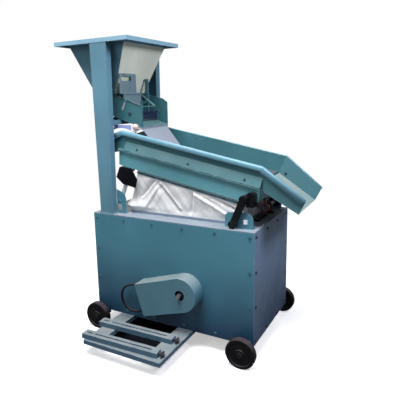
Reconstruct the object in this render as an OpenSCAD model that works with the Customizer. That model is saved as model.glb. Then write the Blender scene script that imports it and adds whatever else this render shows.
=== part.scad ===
/* [Casing] */
// Length of the fan casing, left to right
casing_l = 1264; // [1200:2:1400]
// Width of the fan casing, front to back
casing_w = 720; // [700:2:800]
// Height of the casing from its underside to its top
casing_h = 763; // [740:1:900]
// Height of the casing's underside above the floor
ground_gap = 114; // [114:1:150]
// Thickness of the sheet panels
sheet = 3; // [2:0.5:4]
// Thickness of the casing's top plate
top_t = 6; // [4:1:8]
// Leg length of the frame's angle iron
angle_leg = 40; // [30:1:45]
// Thickness of the frame's angle iron
angle_t = 4; // [3:0.5:6]
// Radius of the air inlet in the rear panel
inlet_r = 165; // [140:1:180]
// Bolts along each long panel edge
bolts_long = 6; // [4:1:8]
// Bolts along each short and each upright panel edge
bolts_short = 4; // [3:1:5]
// Distance of the bolts from the panel edges
bolt_inset = 30; // [24:1:34]

/* [Wheels] */
// Radius of the solid rubber wheels
wheel_r = 100; // [90:1:110]
// Width of the wheels
wheel_w = 46; // [36:1:60]
// Half the distance between the front and rear wheels' axles
axle_x = 575; // [540:1:590]
// Radius of the axles
axle_r = 12.5; // [10:0.5:14]
// Gap between the casing and a wheel's inner face
wheel_gap = 60; // [40:1:80]

/* [Posts] */
// Left edge of a hopper post at its foot, from the casing's centre
post_x0 = -572; // [-590:1:-560]
// Width of a hopper post at its foot
post_w = 110; // [95:1:115]
// How far a post widens to the left at the top
post_flare_left = 20; // [0:1:30]
// How far a post widens to the right at the top
post_flare_right = 12; // [0:1:20]
// Depth of a post's folded flanges
post_depth = 55; // [40:1:60]
// Thickness of a post's folded plate
post_t = 4; // [3:0.5:6]
// Distance of a post's face behind the casing's edge
post_set = 10; // [6:1:14]

/* [Hopper] */
// Height of the hopper's rim above the floor
hopper_top = 2127; // [2100:1:2300]
// Centre of the hopper, from the casing's centre
hopper_x = -598.5; // [-605:0.5:-590]
// Outer length of the rim, left to right
rim_l = 653; // [640:1:680]
// Outer width of the rim, front to back
rim_w = 704; // [700:1:740]
// Width of the flat rim round the mouth
rim_band = 80; // [76:1:84]
// Depth of the rim's folded lip
rim_lip = 29; // [20:1:40]
// Length of the outlet, left to right
outlet_l = 177; // [170:1:185]
// Width of the outlet, front to back
outlet_w = 380; // [370:1:390]
// Height of the outlet above the floor
outlet_z = 1752; // [1745:1:1760]
// Thickness of the hopper sheet
hopper_t = 2.5; // [2:0.5:3]

/* [Feeder] */
// Half width of the feeder pan, outside
pan_half = 187; // [186:0.5:190]
// Right end of the feeder pan, from the casing's centre
pan_x1 = -288; // [-300:1:-280]
// Height of the pan's floor at its right end
pan_z1 = 1500; // [1490:1:1505]
// Slope of the pan's floor, in degrees
pan_slope = 18.4; // [17:0.2:19]
// Height of the pan's side above the floor at its right end
pan_side = 160; // [150:1:168]
// Place of the baffle's shaft along the machine
baffle_x = -385; // [-400:1:-375]
// Height of the baffle's shaft above the pan's floor
baffle_lift = 74; // [66:1:80]
// Radius of the baffle's shaft
baffle_r = 7; // [5:0.5:8]
// Length of the latch lever on the feeder's side
lever_l = 65; // [55:1:70]

/* [Deck] */
// Slope of the deck down to the grain end, in degrees
deck_slope = 11.2; // [10:0.1:12]
// Top corner where deck and chute meet, along the machine
kink_x = 648; // [640:1:655]
// Height of that corner above the floor
kink_z = 1276; // [1272:1:1290]
// Length of the deck's straight part
deck_l = 1069; // [1060:1:1080]
// Half width of the deck over its side plates
deck_half = 260; // [258:1:262]
// Depth of the deck's side plates
side_h = 131; // [125:1:140]
// Thickness of the deck's plates
deck_t = 2.5; // [2:0.5:4]
// Depth of the rim along the deck's top edges
bead_h = 34; // [25:1:40]
// How far the rim stands out from the side plate
bead_w = 17; // [12:1:18]
// Height of the lower frame's web
web_h = 110; // [104:1:116]
// Width of the flanges where deck and lower frame are bolted
joint_w = 22; // [16:1:24]
// Thickness of each joint flange and of the felt between them
joint_t = 4; // [3:0.5:5]

/* [Chute and spout] */
// Slope of the grain chute, in degrees
chute_slope = 38; // [35:0.5:40]
// Length of the chute's top edge
chute_l = 328; // [300:1:340]
// Depth of the chute's side at its tip
chute_tip_h = 97; // [85:1:105]
// Half width of the chute at its tip
chute_tip_half = 215; // [205:1:225]
// Slope of the stone spout, in degrees
spout_slope = 16.3; // [14:0.1:18]
// Length of the stone spout's top edge
spout_l = 240; // [220:1:248]
// Half width of the stone spout at its tip
spout_tip_half = 218; // [210:1:230]

/* [Rocker arms] */
// Length of a rocker arm between its pivots
arm_l = 184; // [178:1:188]
// Lean of the rocker arms from upright, in degrees
arm_lean = 23.5; // [22:0.5:25]
// Lower pivot of the right arms, from the casing's centre
arm_right_x = 473; // [468:1:478]
// Height of the right arms' lower pivots above the casing
arm_right_lift = 28; // [28:1:34]
// Lower pivot of the left arms, from the casing's centre
arm_left_x = -437; // [-440:1:-434]
// Height of the left arms' lower pivots above the casing
arm_left_lift = 94; // [90:1:98]
// Radius of an arm's round ends
arm_end_r = 26; // [22:1:28]
// Distance of the arms' inner faces from the middle plane
arm_y = 302; // [301:1:304]
// Width of an arm along its pivots
arm_w = 40; // [34:1:42]
// Radius of the arms' pivot pins
pin_r = 8; // [6:0.5:9]
// Thickness of the arm bracket plates
bracket_t = 6; // [5:0.5:8]

/* [Drive] */
// Place of the fan's shaft along the machine
fan_x = 155; // [140:1:170]
// Height of the fan's shaft above the floor
fan_z = 415; // [405:1:430]
// Radius of the fan's shaft
fan_shaft_r = 15; // [12:0.5:18]
// Outer radius of the fan's impeller
impeller_r = 190; // [170:1:195]
// Width of the impeller
impeller_w = 240; // [180:2:280]
// Number of impeller blades
blades = 8; // [6:1:12]
// Outer radius of the big fan pulley
pulley_r = 100; // [90:1:104]
// Height of the eccentric shaft above the casing
crank_lift = 54; // [50:1:58]
// Place of the eccentric shaft along the machine
crank_x = 552; // [546:1:558]
// Distance of the connecting rod behind the middle plane
rod_y = 78; // [60:1:100]
// Radius of the eccentric shaft
crank_r = 15; // [12:0.5:16]
// Radius of the eccentric discs
disc_r = 24; // [22:0.5:26]
// Throw of the eccentric discs
throw = 1.6; // [1:0.1:2]
// Outer radius of the pulley on the eccentric shaft
crank_pulley_r = 48; // [40:1:52]
// Outer radius of the small pulley on the fan's shaft
small_pulley_r = 30; // [26:1:34]
// Distance of the belt guard's front from the casing
guard_depth = 115; // [100:1:130]
// Radius of the belt guard round the shaft
guard_r = 117; // [112:1:125]
// Radius of the hole in the guard round the shaft
guard_hole_r = 35; // [30:1:40]
// How far the shaft's end stands out of the guard
shaft_out = 25; // [15:1:30]
// Length of the belt guard from the shaft to its open end
guard_l = 343; // [320:1:360]
// Slope of the main belt, in degrees
belt_slope = 17.2; // [14:0.2:20]
// Distance between the two ends of the main belt
belt_l = 440; // [425:1:460]
// Radius of the main belt's free end
belt_end_r = 106; // [96:1:110]

/* [Motor rails] */
// Length of a slide rail
rail_l = 585; // [560:1:600]
// Left end of the slide rails, from the casing's centre
rail_x0 = -441; // [-450:1:-430]
// Width of a slide rail
rail_w = 64; // [54:1:70]
// Height of a slide rail
rail_h = 35; // [30:1:45]
// Middle of the front rail, in front of the casing's centre
rail_front = 741.5; // [735:0.5:750]
// Middle of the rear rail, in front of the casing's centre
rail_rear = 556; // [545:1:570]
// Angle by which the slide rails are turned, in degrees
rail_skew = 2; // [0:0.5:3]
// Width of the slots in the rails
slot_w = 12; // [10:0.5:14]
// How far the rail frame reaches in front of the casing's centre
frame_reach = 797; // [790:1:810]
// Height of the rail frame's members
frame_h = 30; // [24:1:36]

/* [Canvas] */
// Left end of the canvas sleeve at the casing, from the centre
duct_x0 = -366; // [-370:1:-362]
// Right end of the canvas sleeve at the casing, from the centre
duct_x1 = 508; // [500:1:510]
// Half width of the canvas sleeve at the casing
duct_half = 238; // [234:1:242]
// Thickness that stands for the canvas and its play
canvas_t = 3; // [2:0.5:4]
// Depth of the canvas folds
fold = 16; // [8:1:18]
// Width of the clamping strips
strip_w = 20; // [16:1:24]

/* [Hidden] */
$fn = 48;

// Paints
teal = "#5e8f98";
teal_light = "#86a9b4";
teal_dark = "#3f6f7a";
cream = "#b9beb2";
black = "#1d1f2b";
zinc = "#c3c8d2";
steel = "#8d949c";
red = "#8a2f38";

// Running clearance of a pin or shaft in its hole
run = 0.05;
// Gap between faces that move past each other
slip = 0.3;
casing_top = ground_gap + casing_h;
half_l = casing_l / 2;
half_w = casing_w / 2;
in_x = half_l - sheet;
in_y = half_w - sheet;
plate_z = casing_top - top_t;
bolt_r = 8;
bolt_h = 5;
washer_r = 11;
washer_t = 1.5;

// The row's origin: middle of the whole outline, on the floor
chute_dip = chute_slope - deck_slope;
chute_tip_x = kink_x + chute_l * cos(chute_slope);
axle_end = half_w + wheel_gap + wheel_w + 10;
mid_x = (hopper_x - rim_l / 2 + chute_tip_x) / 2;
mid_y = (axle_end - frame_reach) / 2;

wheel_y = half_w + wheel_gap;
duct_t = 3;
duct_lip = 19;

post_top = hopper_top - 4;
post_y1 = half_w - post_set;
post_y0 = post_y1 - post_depth;
post_x1 = post_x0 + post_w;
foot_t = 6;

crank_z = casing_top + crank_lift;
arm_dx = arm_l * sin(arm_lean);
arm_dz = arm_l * cos(arm_lean);
arm_right_z = casing_top + arm_right_lift;
arm_left_z = casing_top + arm_left_lift;
rod_w = 22;
rod_l = 73;
eye_r = 15;

screen_t = 6;
skirt_top = 70;
web_top = side_h + 3 * joint_t;
web_bottom = web_top + web_h;
web_u0 = -deck_l - 15;
web_u1 = 13;
in_u0 = -deck_l + 37;
in_u1 = -32;
end_u0 = in_u0 - 22;
end_u1 = -12;
rail_y = 250;
rail_bottom = web_bottom + 29;
canvas_w = web_bottom + 9;
joint_out = deck_half + joint_w;

// Points of the deck's own slanted frame, turned into the casing's frame
function deck_x(u, w) = kink_x + u * cos(deck_slope) + w * sin(deck_slope);
function deck_z(u, w) = kink_z - u * sin(deck_slope) + w * cos(deck_slope);
function deck_u(x, w) = (x - kink_x - w * sin(deck_slope)) / cos(deck_slope);
// Outline of the canvas sleeve's top edge, and the cross plates just inside it
top_x0 = duct_x0 + 66;
top_x1 = duct_x1 + 14;
cross_u0 = deck_u(top_x0 + canvas_t + slip, -rail_bottom);
cross_u1 = deck_u(top_x1 - canvas_t - 2, -canvas_w);

pan_back = hopper_x - outlet_l / 2 - 8;
function pan_floor(x) = pan_z1 + (pan_x1 - x) * tan(pan_slope);
baffle_z = pan_floor(baffle_x) + baffle_lift;

wall_rise = hopper_top - rim_lip - outlet_z;
side_run = (rim_l - outlet_l) / 2 - rim_band;
front_run = (rim_w - outlet_w) / 2 - rim_band;
side_lean = atan(side_run / wall_rise);
front_lean = atan(front_run / wall_rise);
neck_half = 150;
neck_h = 82;
out_x1 = hopper_x + outlet_l / 2;
// Right face of the hopper's leaning wall at a height
function wall_x(z) = out_x1 + (z - outlet_z) * tan(side_lean) + hopper_t / cos(side_lean);
// Upper face of the pan's floor
function pan_top(x) = pan_floor(x) + 3 / cos(pan_slope);
gate_t = 4;
gate_x = -442;
gate_drop = 44;
gate_low = pan_floor(gate_x) + 48.8;
gate_mid = outlet_z - 7;
gate_top = outlet_z + 138;
latch_x = -418;
latch_z = pan_z1 + 192;
latch_hang = 27.6;
ear_drop = 19;
ear_out = 81;
ear_slope = atan(ear_drop / ear_out);
knob_x = pan_x1 - 15;
knob_y = -pan_half - 56;
knob_r = 23;

belt_y = -(half_w + 53);
belt_w = 17;
belt_t = 11;
drive_y = half_w + 17;
guard_t = 2.5;
beam_y = 310;
beam_h = 45;

module placed() {
    translate([-mid_x, -mid_y, 0]) children();
}

// Round bar along X between two distances
module x_rod(y, z, x0, x1, r) {
    translate([x0, y, z]) rotate([0, 90, 0]) cylinder(h = x1 - x0, r = r);
}

// Front and rear copies, mirrored about the middle plane
module both_sides() {
    for (m = [0, 1]) mirror([0, m, 0]) children();
}

// Left and right copies, mirrored about the casing's centre
module both_ends() {
    for (m = [0, 1]) mirror([m, 0, 0]) children();
}

module block(lo, hi) {
    translate(lo) cube(hi - lo);
}

// Round bar along Y between two distances
module y_rod(x, z, y0, y1, r) {
    translate([x, y0, z]) rotate([-90, 0, 0]) cylinder(h = y1 - y0, r = r);
}

// Outline in the XZ plane, given a thickness along +Y from y0
module xz_plate(points, y0, t) {
    translate([0, y0 + t, 0]) rotate([90, 0, 0]) linear_extrude(t) polygon(points);
}

// Outline in the YZ plane, given a length along +X from x0
module yz_plate(points, x0, t) {
    translate([x0, 0, 0]) rotate([90, 0, 90]) linear_extrude(t) polygon(points);
}

function l_section(leg, t) = [[0, 0], [leg, 0], [leg, t], [t, t], [t, leg], [0, leg]];
function moved(points, by) = [for (p = points) p + by];

// Frame of the deck: x runs down the slope from the kink, z stands square to the screen
module deck_frame() {
    translate([kink_x, 0, kink_z]) rotate([0, deck_slope, 0]) children();
}

// Frame of the chute at the same corner
module chute_frame() {
    translate([kink_x, 0, kink_z]) rotate([0, chute_slope, 0]) children();
}

// Frame of the stone spout at the deck's left corner, x pointing down to the left
module spout_frame() {
    translate([deck_x(-deck_l, 0), 0, deck_z(-deck_l, 0)]) rotate([0, -spout_slope, 0])
        mirror([1, 0, 0]) children();
}

// Hexagon head with a washer, standing on the plane z = 0
module bolt_head(r = bolt_r) {
    cylinder(h = washer_t, r = r + 3);
    translate([0, 0, washer_t]) cylinder(h = bolt_h, r = r, $fn = 6);
}

// V-belt pulley along Z, centred on the groove
module pulley(r, w, bore, groove = 13) {
    rotate_extrude() polygon([[bore, -w / 2], [r - 3, -w / 2], [r, -w / 2 + 3], [r, -9], [r - groove, -5.6],
        [r - groove, 5.6], [r, 9], [r, w / 2 - 3], [r - 3, w / 2], [bore, w / 2]]);
}

// Belt round two discs whose centres lie l apart along X; r1 and r2 are the belt's outer radii
module belt_loop(r1, r2, l) {
    section = [[-belt_t, -5.5], [0, -belt_w / 2], [0, belt_w / 2], [-belt_t, 5.5]];
    run_section = [[-belt_t + 0.06, -5.44], [-0.06, -belt_w / 2 + 0.1], [-0.06, belt_w / 2 - 0.1], [-belt_t + 0.06, 5.44]];
    turn = acos((r1 - r2) / l);
    run_l = l * sin(turn);
    rotate([0, 0, turn]) rotate_extrude(angle = 360 - 2 * turn, $fn = 96)
        polygon(moved(section, [r1, 0]));
    translate([l, 0, 0]) rotate([0, 0, -turn]) rotate_extrude(angle = 2 * turn, $fn = 96)
        polygon(moved(section, [r2, 0]));
    for (side = [0, 1]) mirror([0, side, 0]) rotate([0, 0, turn]) translate([r1, 1, 0])
        rotate([90, 0, 0]) linear_extrude(run_l + 2) polygon(run_section);
}

// A bar of wide folded channel with slots, along X, open below
module slide_rail() {
    wall = 5;
    difference() {
        block([0, -rail_w / 2, 0], [rail_l, rail_w / 2, rail_h]);
        block([-1, -rail_w / 2 + wall, -1], [rail_l + 1, rail_w / 2 - wall, rail_h - 6]);
        slot(15, 55);
        slot(89, rail_l - 140);
    }
    block([rail_l - 8, -rail_w / 2 + wall - 1, 0], [rail_l, rail_w / 2 - wall + 1, rail_h - 5]);
}

// Places what belongs to the rail whose middle lies at a distance y
module on_rail(y) {
    translate([rail_x0 + rail_l / 2, y, ground_gap]) rotate([0, 0, rail_skew])
        translate([-rail_l / 2, 0, 0]) children();
}

// Slot along X in a rail's top, with round ends
module slot(x0, l) {
    r = slot_w / 2;
    block([x0 + r, -r, rail_h - 7], [x0 + l - r, r, rail_h + 1]);
    for (x = [x0 + r, x0 + l - r]) translate([x, 0, rail_h - 7]) cylinder(h = 8, r = r);
}

// One solid rubber wheel along Z, from z = 0, with its moulded hub
module wheel() {
    e = 7;
    hub = 30;
    recess = 5;
    rotate_extrude($fn = 96) polygon(concat(
        [[axle_r + run, 0], [hub, 0], [hub + 4, recess], [wheel_r - 24, recess], [wheel_r - 19, 0]],
        [for (a = [0:15:90]) [wheel_r - e + e * sin(a), e - e * cos(a)]],
        [for (a = [90:15:180]) [wheel_r - e + e * sin(a), wheel_w - e - e * cos(a)]],
        [[wheel_r - 19, wheel_w], [wheel_r - 24, wheel_w - recess], [hub + 4, wheel_w - recess],
        [hub, wheel_w], [axle_r + run, wheel_w]]));
}

module wheel_at(sx, sy) color(black) placed() {
    translate([sx * axle_x, sy > 0 ? wheel_y : -wheel_y, wheel_r])
        rotate([sy > 0 ? -90 : 90, 0, 0]) wheel();
}

module wheel_front_left() wheel_at(-1, -1);
module wheel_front_right() wheel_at(1, -1);
module wheel_rear_left() wheel_at(-1, 1);
module wheel_rear_right() wheel_at(1, 1);

// Two axles, each with a collar on both sides of each wheel
module axles() color(steel) placed() {
    collar = axle_r + 6;
    both_ends() translate([-axle_x, 0, wheel_r]) {
        y_rod(0, 0, -axle_end, axle_end, axle_r);
        both_sides() {
            y_rod(0, 0, wheel_y - 10, wheel_y - slip, collar);
            y_rod(0, 0, wheel_y + wheel_w + slip, axle_end - 2, collar);
        }
    }
}

module base_frame() color(teal_dark) placed() {
    iron = l_section(angle_leg, angle_t);
    both_ends() both_sides() translate([-in_x, -in_y, ground_gap])
        linear_extrude(casing_h - top_t) polygon(iron);
    both_sides() yz_plate(moved(iron, [-in_y, ground_gap]), -in_x, 2 * in_x);
    both_ends() xz_plate(moved(iron, [-in_x, ground_gap]), -in_y, 2 * in_y);
    // Hanger plates that hold the axles
    both_ends() both_sides() difference() {
        block([-axle_x - 32, -in_y + 20, wheel_r - 24], [-axle_x + 32, -in_y + 26, ground_gap]);
        y_rod(-axle_x, wheel_r, -in_y, -in_y + 40, axle_r + run);
    }
}

module floor_panel() color(teal_dark) placed() {
    gap = angle_t + 1;
    z0 = ground_gap + angle_t;
    difference() {
        block([-in_x + gap, -in_y + gap, z0], [in_x - gap, in_y - gap, z0 + sheet]);
        both_ends() both_sides() block([-in_x, -in_y, z0 - 1],
            [-in_x + angle_leg + 1, -in_y + angle_leg + 1, z0 + sheet + 1]);
    }
}

module front_panel() color(teal) placed() {
    difference() {
        block([-half_l, -half_w, ground_gap], [half_l, -in_y, plate_z]);
        y_rod(fan_x, fan_z, -half_w - 1, -in_y + 1, fan_shaft_r + 15);
    }
}

module rear_panel() color(teal) placed() {
    difference() {
        block([-half_l, in_y, ground_gap], [half_l, half_w, plate_z]);
        y_rod(fan_x, fan_z, in_y - 1, half_w + 1, inlet_r);
    }
}

module left_panel() color(teal) placed() {
    block([-half_l, -in_y, ground_gap], [-in_x, in_y, plate_z]);
}

module right_panel() color(teal_light) placed() {
    block([in_x, -in_y, ground_gap], [half_l, in_y, plate_z]);
}

// Centres of the bolts round a panel l long and h high
function rim_bolts(l, h, n, m) = let (a = l - 2 * bolt_inset, b = h - 2 * bolt_inset) concat(
    [for (i = [0:n - 1], s = [0, 1]) [bolt_inset + a * i / (n - 1), bolt_inset + b * s]],
    [for (j = [1:m - 2], s = [0, 1]) [bolt_inset + a * s, bolt_inset + b * j / (m - 1)]]);

module panel_bolts() color(zinc) placed() {
    h = casing_h - top_t;
    both_sides() for (p = rim_bolts(casing_l, h, bolts_long, bolts_short))
        translate([-half_l + p[0], -half_w, ground_gap + p[1]]) rotate([90, 0, 0]) bolt_head();
    both_ends() for (p = rim_bolts(casing_w, h, bolts_short, bolts_short))
        translate([half_l, -half_w + p[0], ground_gap + p[1]]) rotate([0, 90, 0]) bolt_head();
    // Square nut on the front arm bracket
    block([crank_x - 12, -arm_y - 7, crank_z - 22], [crank_x + 12, -arm_y + slip + 1, crank_z + 6]);
}

// Top plate with the collar that the canvas is clamped round
module top_plate() color(teal_light) placed() {
    x0 = duct_x0 + canvas_t + slip;
    x1 = duct_x1 - canvas_t - slip;
    y1 = duct_half - canvas_t - slip;
    difference() {
        union() {
            block([-half_l, -half_w, plate_z], [half_l, half_w, casing_top]);
            block([x0, -y1, casing_top - 1], [x1, y1, casing_top + duct_lip]);
        }
        block([x0 + duct_t, -y1 + duct_t, plate_z - 1],
            [x1 - duct_t, y1 - duct_t, casing_top + duct_lip + 1]);
    }
}

module post() {
    z0 = casing_top + foot_t;
    x0 = post_x0;
    x1 = post_x1;
    x2 = post_x1 + post_flare_right;
    x3 = post_x0 - post_flare_left;
    xz_plate([[x0, z0], [x1, z0], [x2, post_top], [x3, post_top]], -post_y1, post_t);
    xz_plate([[x1 - post_t, z0], [x1, z0], [x2, post_top], [x2 - post_t, post_top]],
        -post_y1, post_depth);
    xz_plate([[x0, z0], [x0 + post_t, z0], [x3 + post_t, post_top], [x3, post_top]],
        -post_y1, post_depth);
    // Foot plate, bolted to the casing
    block([x0 - 12, -post_y1 - 4, casing_top], [x1 + 10, -post_y0 - 0.5, z0]);
    for (x = [x0 + 24, x1 - 24]) translate([x, -post_y1 + 26, z0]) bolt_head(7);
}

module post_front() color(teal) placed() post();
module post_rear() color(teal) placed() mirror([0, 1, 0]) post();

// Two angle irons between the posts, which carry the feeder pan
module feeder_beams() color(teal) placed() {
    y1 = post_y1 - post_t;
    for (x = [post_x1 - 8, post_x0 + 8]) {
        s = x > post_x0 + post_w / 2 ? -1 : 1;
        z1 = pan_floor(s < 0 ? x : x + 34) - 3.4;
        iron = l_section(34, 4);
        translate([x, 0, z1]) rotate([180, 0, 0]) mirror([s < 0 ? 1 : 0, 0, 0])
            xz_plate(iron, -y1, 2 * y1);
    }
}

module hopper_rim() color(teal_light) placed() translate([hopper_x, 0, 0]) {
    a = rim_l / 2;
    b = rim_w / 2;
    plate = 4;
    difference() {
        block([-a, -b, hopper_top - rim_lip], [a, b, hopper_top]);
        block([-a + 3, -b + 2, hopper_top - rim_lip - 1], [a - 3, b - 2, hopper_top - plate]);
        block([-a + rim_band, -b + rim_band, hopper_top - plate - 1],
            [a - rim_band, b - rim_band, hopper_top + 1]);
    }
    // Neck that stands down from the flat rim to the hopper's walls
    difference() {
        block([-a + rim_band - hopper_t, -b + rim_band - hopper_t, hopper_top - rim_lip],
            [a - rim_band + hopper_t, b - rim_band + hopper_t, hopper_top - plate]);
        block([-a + rim_band, -b + rim_band, hopper_top - rim_lip - 1],
            [a - rim_band, b - rim_band, hopper_top]);
    }
}

// Inclined hopper wall: top and bottom widths, standing on the outlet's edge or cut off above it
module hopper_wall(bottom, top, lean, cut = 0) {
    slant = wall_rise / cos(lean);
    low = bottom / 2 + cut * (top - bottom) / 2 / slant;
    rotate([90 + lean, 0, 0]) linear_extrude(hopper_t)
        polygon([[-low, cut], [low, cut], [top / 2, slant], [-top / 2, slant]]);
}

module end_wall(cut = 0) {
    rotate([0, 0, 90]) hopper_wall(outlet_w, rim_w - 2 * rim_band, side_lean, cut);
}

module hopper_shell() color(teal) placed() translate([hopper_x, 0, outlet_z]) {
    both_sides() translate([0, -outlet_w / 2, 0])
        hopper_wall(outlet_l, rim_l - 2 * rim_band, front_lean);
    translate([-outlet_l / 2, 0, 0]) rotate([0, 0, 180]) end_wall();
    // Flange round the outlet, and the neck below it
    a = outlet_l / 2;
    b = outlet_w / 2;
    difference() {
        union() {
            block([-a - 10, -b - 12, -6], [a + 6, b + 12, 0.5]);
            block([-a, -neck_half, -6 - neck_h], [a, neck_half, -3]);
        }
        block([-a + hopper_t, -neck_half + hopper_t, -7 - neck_h], [a - hopper_t, neck_half - hopper_t, 1]);
    }
}

module hopper_right_wall() color(cream) placed() {
    translate([out_x1, 0, outlet_z]) end_wall((0.55 + hopper_t * sin(side_lean)) / cos(side_lean));
}

// Upright gate that sets the layer of grain, shown open, with a hand hole in its tongue
module slide_gate() color(steel) placed() {
    corner = 14;
    near = -pan_half - 35;
    far = -17;
    x1 = gate_x + gate_t;
    hole_z = gate_top - 36;
    difference() {
        union() {
            block([gate_x, near, gate_mid], [x1, far - corner, gate_top]);
            block([gate_x, near, gate_mid], [x1, far, gate_top - corner]);
            x_rod(far - corner, gate_top - corner, gate_x, x1, corner);
            block([gate_x, -pan_half + 6, gate_low], [x1, 45, gate_mid + 0.5]);
            // Stiffening rib
            block([x1 - 0.5, -170, gate_mid - 6], [x1 + 6, 30, gate_mid]);
        }
        block([gate_x - 1, near + 38, hole_z - 18], [x1 + 1, near + 126, hole_z + 18]);
        for (y = [near + 38, near + 126]) x_rod(y, hole_z, gate_x - 1, x1 + 1, 18);
    }
}

// Clips, channel, upright bar and strut that guide the gate and brace the pan's open end
module gate_guides() color(zinc) placed() {
    x0 = gate_x - slip;
    x1 = gate_x + gate_t + slip;
    y1 = -pan_half + 3;
    far = 45 + slip;
    guide_top = gate_mid - 55;
    // Clips on the near side of the pan
    for (x = [x0 - 8, x1]) block([x, y1, gate_low + 20], [x + 8, y1 + 9, guide_top]);
    // Channel at the gate's far edge, standing on the pan's floor
    for (x = [x0 - 8, x1]) xz_plate([[x, pan_top(x)], [x + 8, pan_top(x + 8)], [x + 8, guide_top],
        [x, guide_top]], far - 12, 20);
    xz_plate([[x0 - 1, pan_top(x0 - 1)], [x1 + 1, pan_top(x1 + 1)], [x1 + 1, guide_top], [x0 - 1, guide_top]], far, 8);
    // Upright bar with its lug on the hopper's wall
    bar = [gate_x - 10, gate_x + 16];
    bar_top = gate_top - 33;
    xz_plate([[bar[0], pan_top(bar[0])], [bar[1], pan_top(bar[1])], [bar[1], bar_top], [bar[0], bar_top]], 121, 17);
    xz_plate([[wall_x(bar_top - 22), bar_top - 22], [bar[0] + 1, bar_top - 22], [bar[0] + 1, bar_top],
        [wall_x(bar_top), bar_top]], 121, 17);
    block([x0 - 8, far + 7, guide_top - 20], [x0, 122, guide_top - 2]);
    // Strut from the outlet's far corner down to the tie across the pan's end
    block([out_x1, 130, outlet_z - 11], [out_x1 + 20, 150, outlet_z - 6]);
    translate([out_x1 + 10, 140, outlet_z - 8]) rotate([0, 0, -31.2]) rotate([0, 21.7, 0])
        block([0, -10, -3], [259, 10, 0]);
    block([pan_x1 - 15, y1, pan_z1 + pan_side - 15], [pan_x1 - 3 - slip, 22, pan_z1 + pan_side - 6]);
    // Pin of the latch lever
    y_rod(latch_x, latch_z, -pan_half - 6, -pan_half, 4);
    y_rod(latch_x, latch_z, -pan_half - 9, -pan_half - 6, 8);
}

// Feeder pan: two sides, floor and back, with a corner tie at its open end
module feeder_pan() color(teal) placed() {
    x0 = pan_back;
    x1 = pan_x1;
    top = outlet_z - 6;
    knee = -531;
    open_z = pan_z1 + pan_side;
    near = [[x0, pan_floor(x0)], [x1, pan_z1], [x1, open_z], [knee, top], [x0, top]];
    far = [[x0, pan_floor(x0)], [x1, pan_z1], [x1, open_z + 15], [x1 - 40, open_z + 43],
        [-458, top - 8], [-500, top], [x0, top]];
    floor_t = 3 / cos(pan_slope);
    difference() {
        union() {
            xz_plate(near, -pan_half, 3);
            xz_plate(far, pan_half - 3, 3);
            // Lip along the near side's top
            xz_plate([[x1, open_z - 3], [x1, open_z], [knee, top], [x0, top], [x0, top - 3], [knee, top - 3]],
                -pan_half - 6, 7);
            xz_plate([[x0 + 1, pan_floor(x0 + 1)], [x1, pan_z1], [x1, pan_z1 + floor_t],
                [x0 + 1, pan_floor(x0 + 1) + floor_t]], -pan_half + 1, 2 * pan_half - 2);
            block([x0, -pan_half + 1, pan_floor(x0) + 1], [x0 + 3, pan_half - 1, top - 0.5]);
            // Folded flange at the near side's open end
            block([x1 - 3, -pan_half + 1, pan_z1 + 2], [x1 - 0.2, -pan_half + 24, open_z - 1]);
        }
        y_rod(baffle_x, baffle_z, -pan_half - 1, pan_half + 1, baffle_r + run);
        // Guide slot for the gate's tongue
        block([gate_x - 1, -pan_half - 10, gate_mid - gate_drop - 3], [gate_x + gate_t + 1, -pan_half + 4, top + 1]);
    }
}

// Apron that leads the grain from the pan down to the screen, under a lip strip
module feed_apron() color(zinc) placed() {
    x0 = pan_x1 - 30;
    x1 = pan_x1;
    b = [x1 + 120, deck_z(deck_u(x1 + 120, -side_h), -side_h) + 30];
    low = pan_z1 - 16;
    ear_z = pan_z1 - 3;
    under = [[x0, pan_floor(x0) - slip], [x0, pan_floor(x0) - 4], [x1 - 3, pan_z1 - 3], [x1 - 3, low], [x1, low],
        [x1, pan_z1 - slip]];
    xz_plate(under, -pan_half, 2 * pan_half);
    xz_plate([[x0, ear_z - 4], [x1, ear_z - 4], [x1, pan_z1 - 1], [x0, pan_floor(x0) - 1]], -pan_half, 3);
    // Ear for the locking knob
    difference() {
        yz_plate([[-pan_half + 9, ear_z], [-pan_half, ear_z], [-pan_half - ear_out, ear_z - ear_drop],
            [-pan_half - ear_out, ear_z - ear_drop - 4], [-pan_half, ear_z - 4], [-pan_half + 9, ear_z - 4]], x0, 30);
        translate([knob_x, knob_y, low - 30]) cylinder(h = 50, r = 5 + run);
    }
    // Sloping plate above the screen
    xz_plate([[x1 - 3, low], [x1, low + 4], b + [3.5, 0], b], -170, 340);
}

// Strip with a bowed lower edge on the front of the feeder, with a bolt hole
module bow_strip() color("#dfe4f2") placed() {
    r = 195;
    mid = post_x1 + 18;
    y0 = -pan_half - 37;
    beam_x = post_x1 - 12;
    difference() {
        block([mid - 86, y0, 1470], [mid + 86, y0 + 6, 1520]);
        translate([mid, y0 - 1, 1499 - r]) rotate([-90, 0, 0]) cylinder(h = 8, r = r, $fn = 96);
        y_rod(mid - 70, 1507.5, y0 - 1, y0 + 7, 8);
    }
    // Tab that joins the strip to the feeder's beam
    block([beam_x - 26, y0, 1519], [beam_x, y0 + 6, pan_floor(post_x1 - 8) - 7.4]);
}

module baffle() color(steel) placed() {
    y_rod(baffle_x, baffle_z, -pan_half - 12, pan_half + 8, baffle_r);
    block([baffle_x - 1.5, -pan_half + 8, baffle_z - baffle_lift + 16],
        [baffle_x + 1.5, pan_half - 8, baffle_z]);
    y_rod(baffle_x, baffle_z, -pan_half - 10, -pan_half - slip, 12, $fn = 6);
    y_rod(baffle_x, baffle_z, pan_half + slip, pan_half + 6, 11);
}

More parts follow.
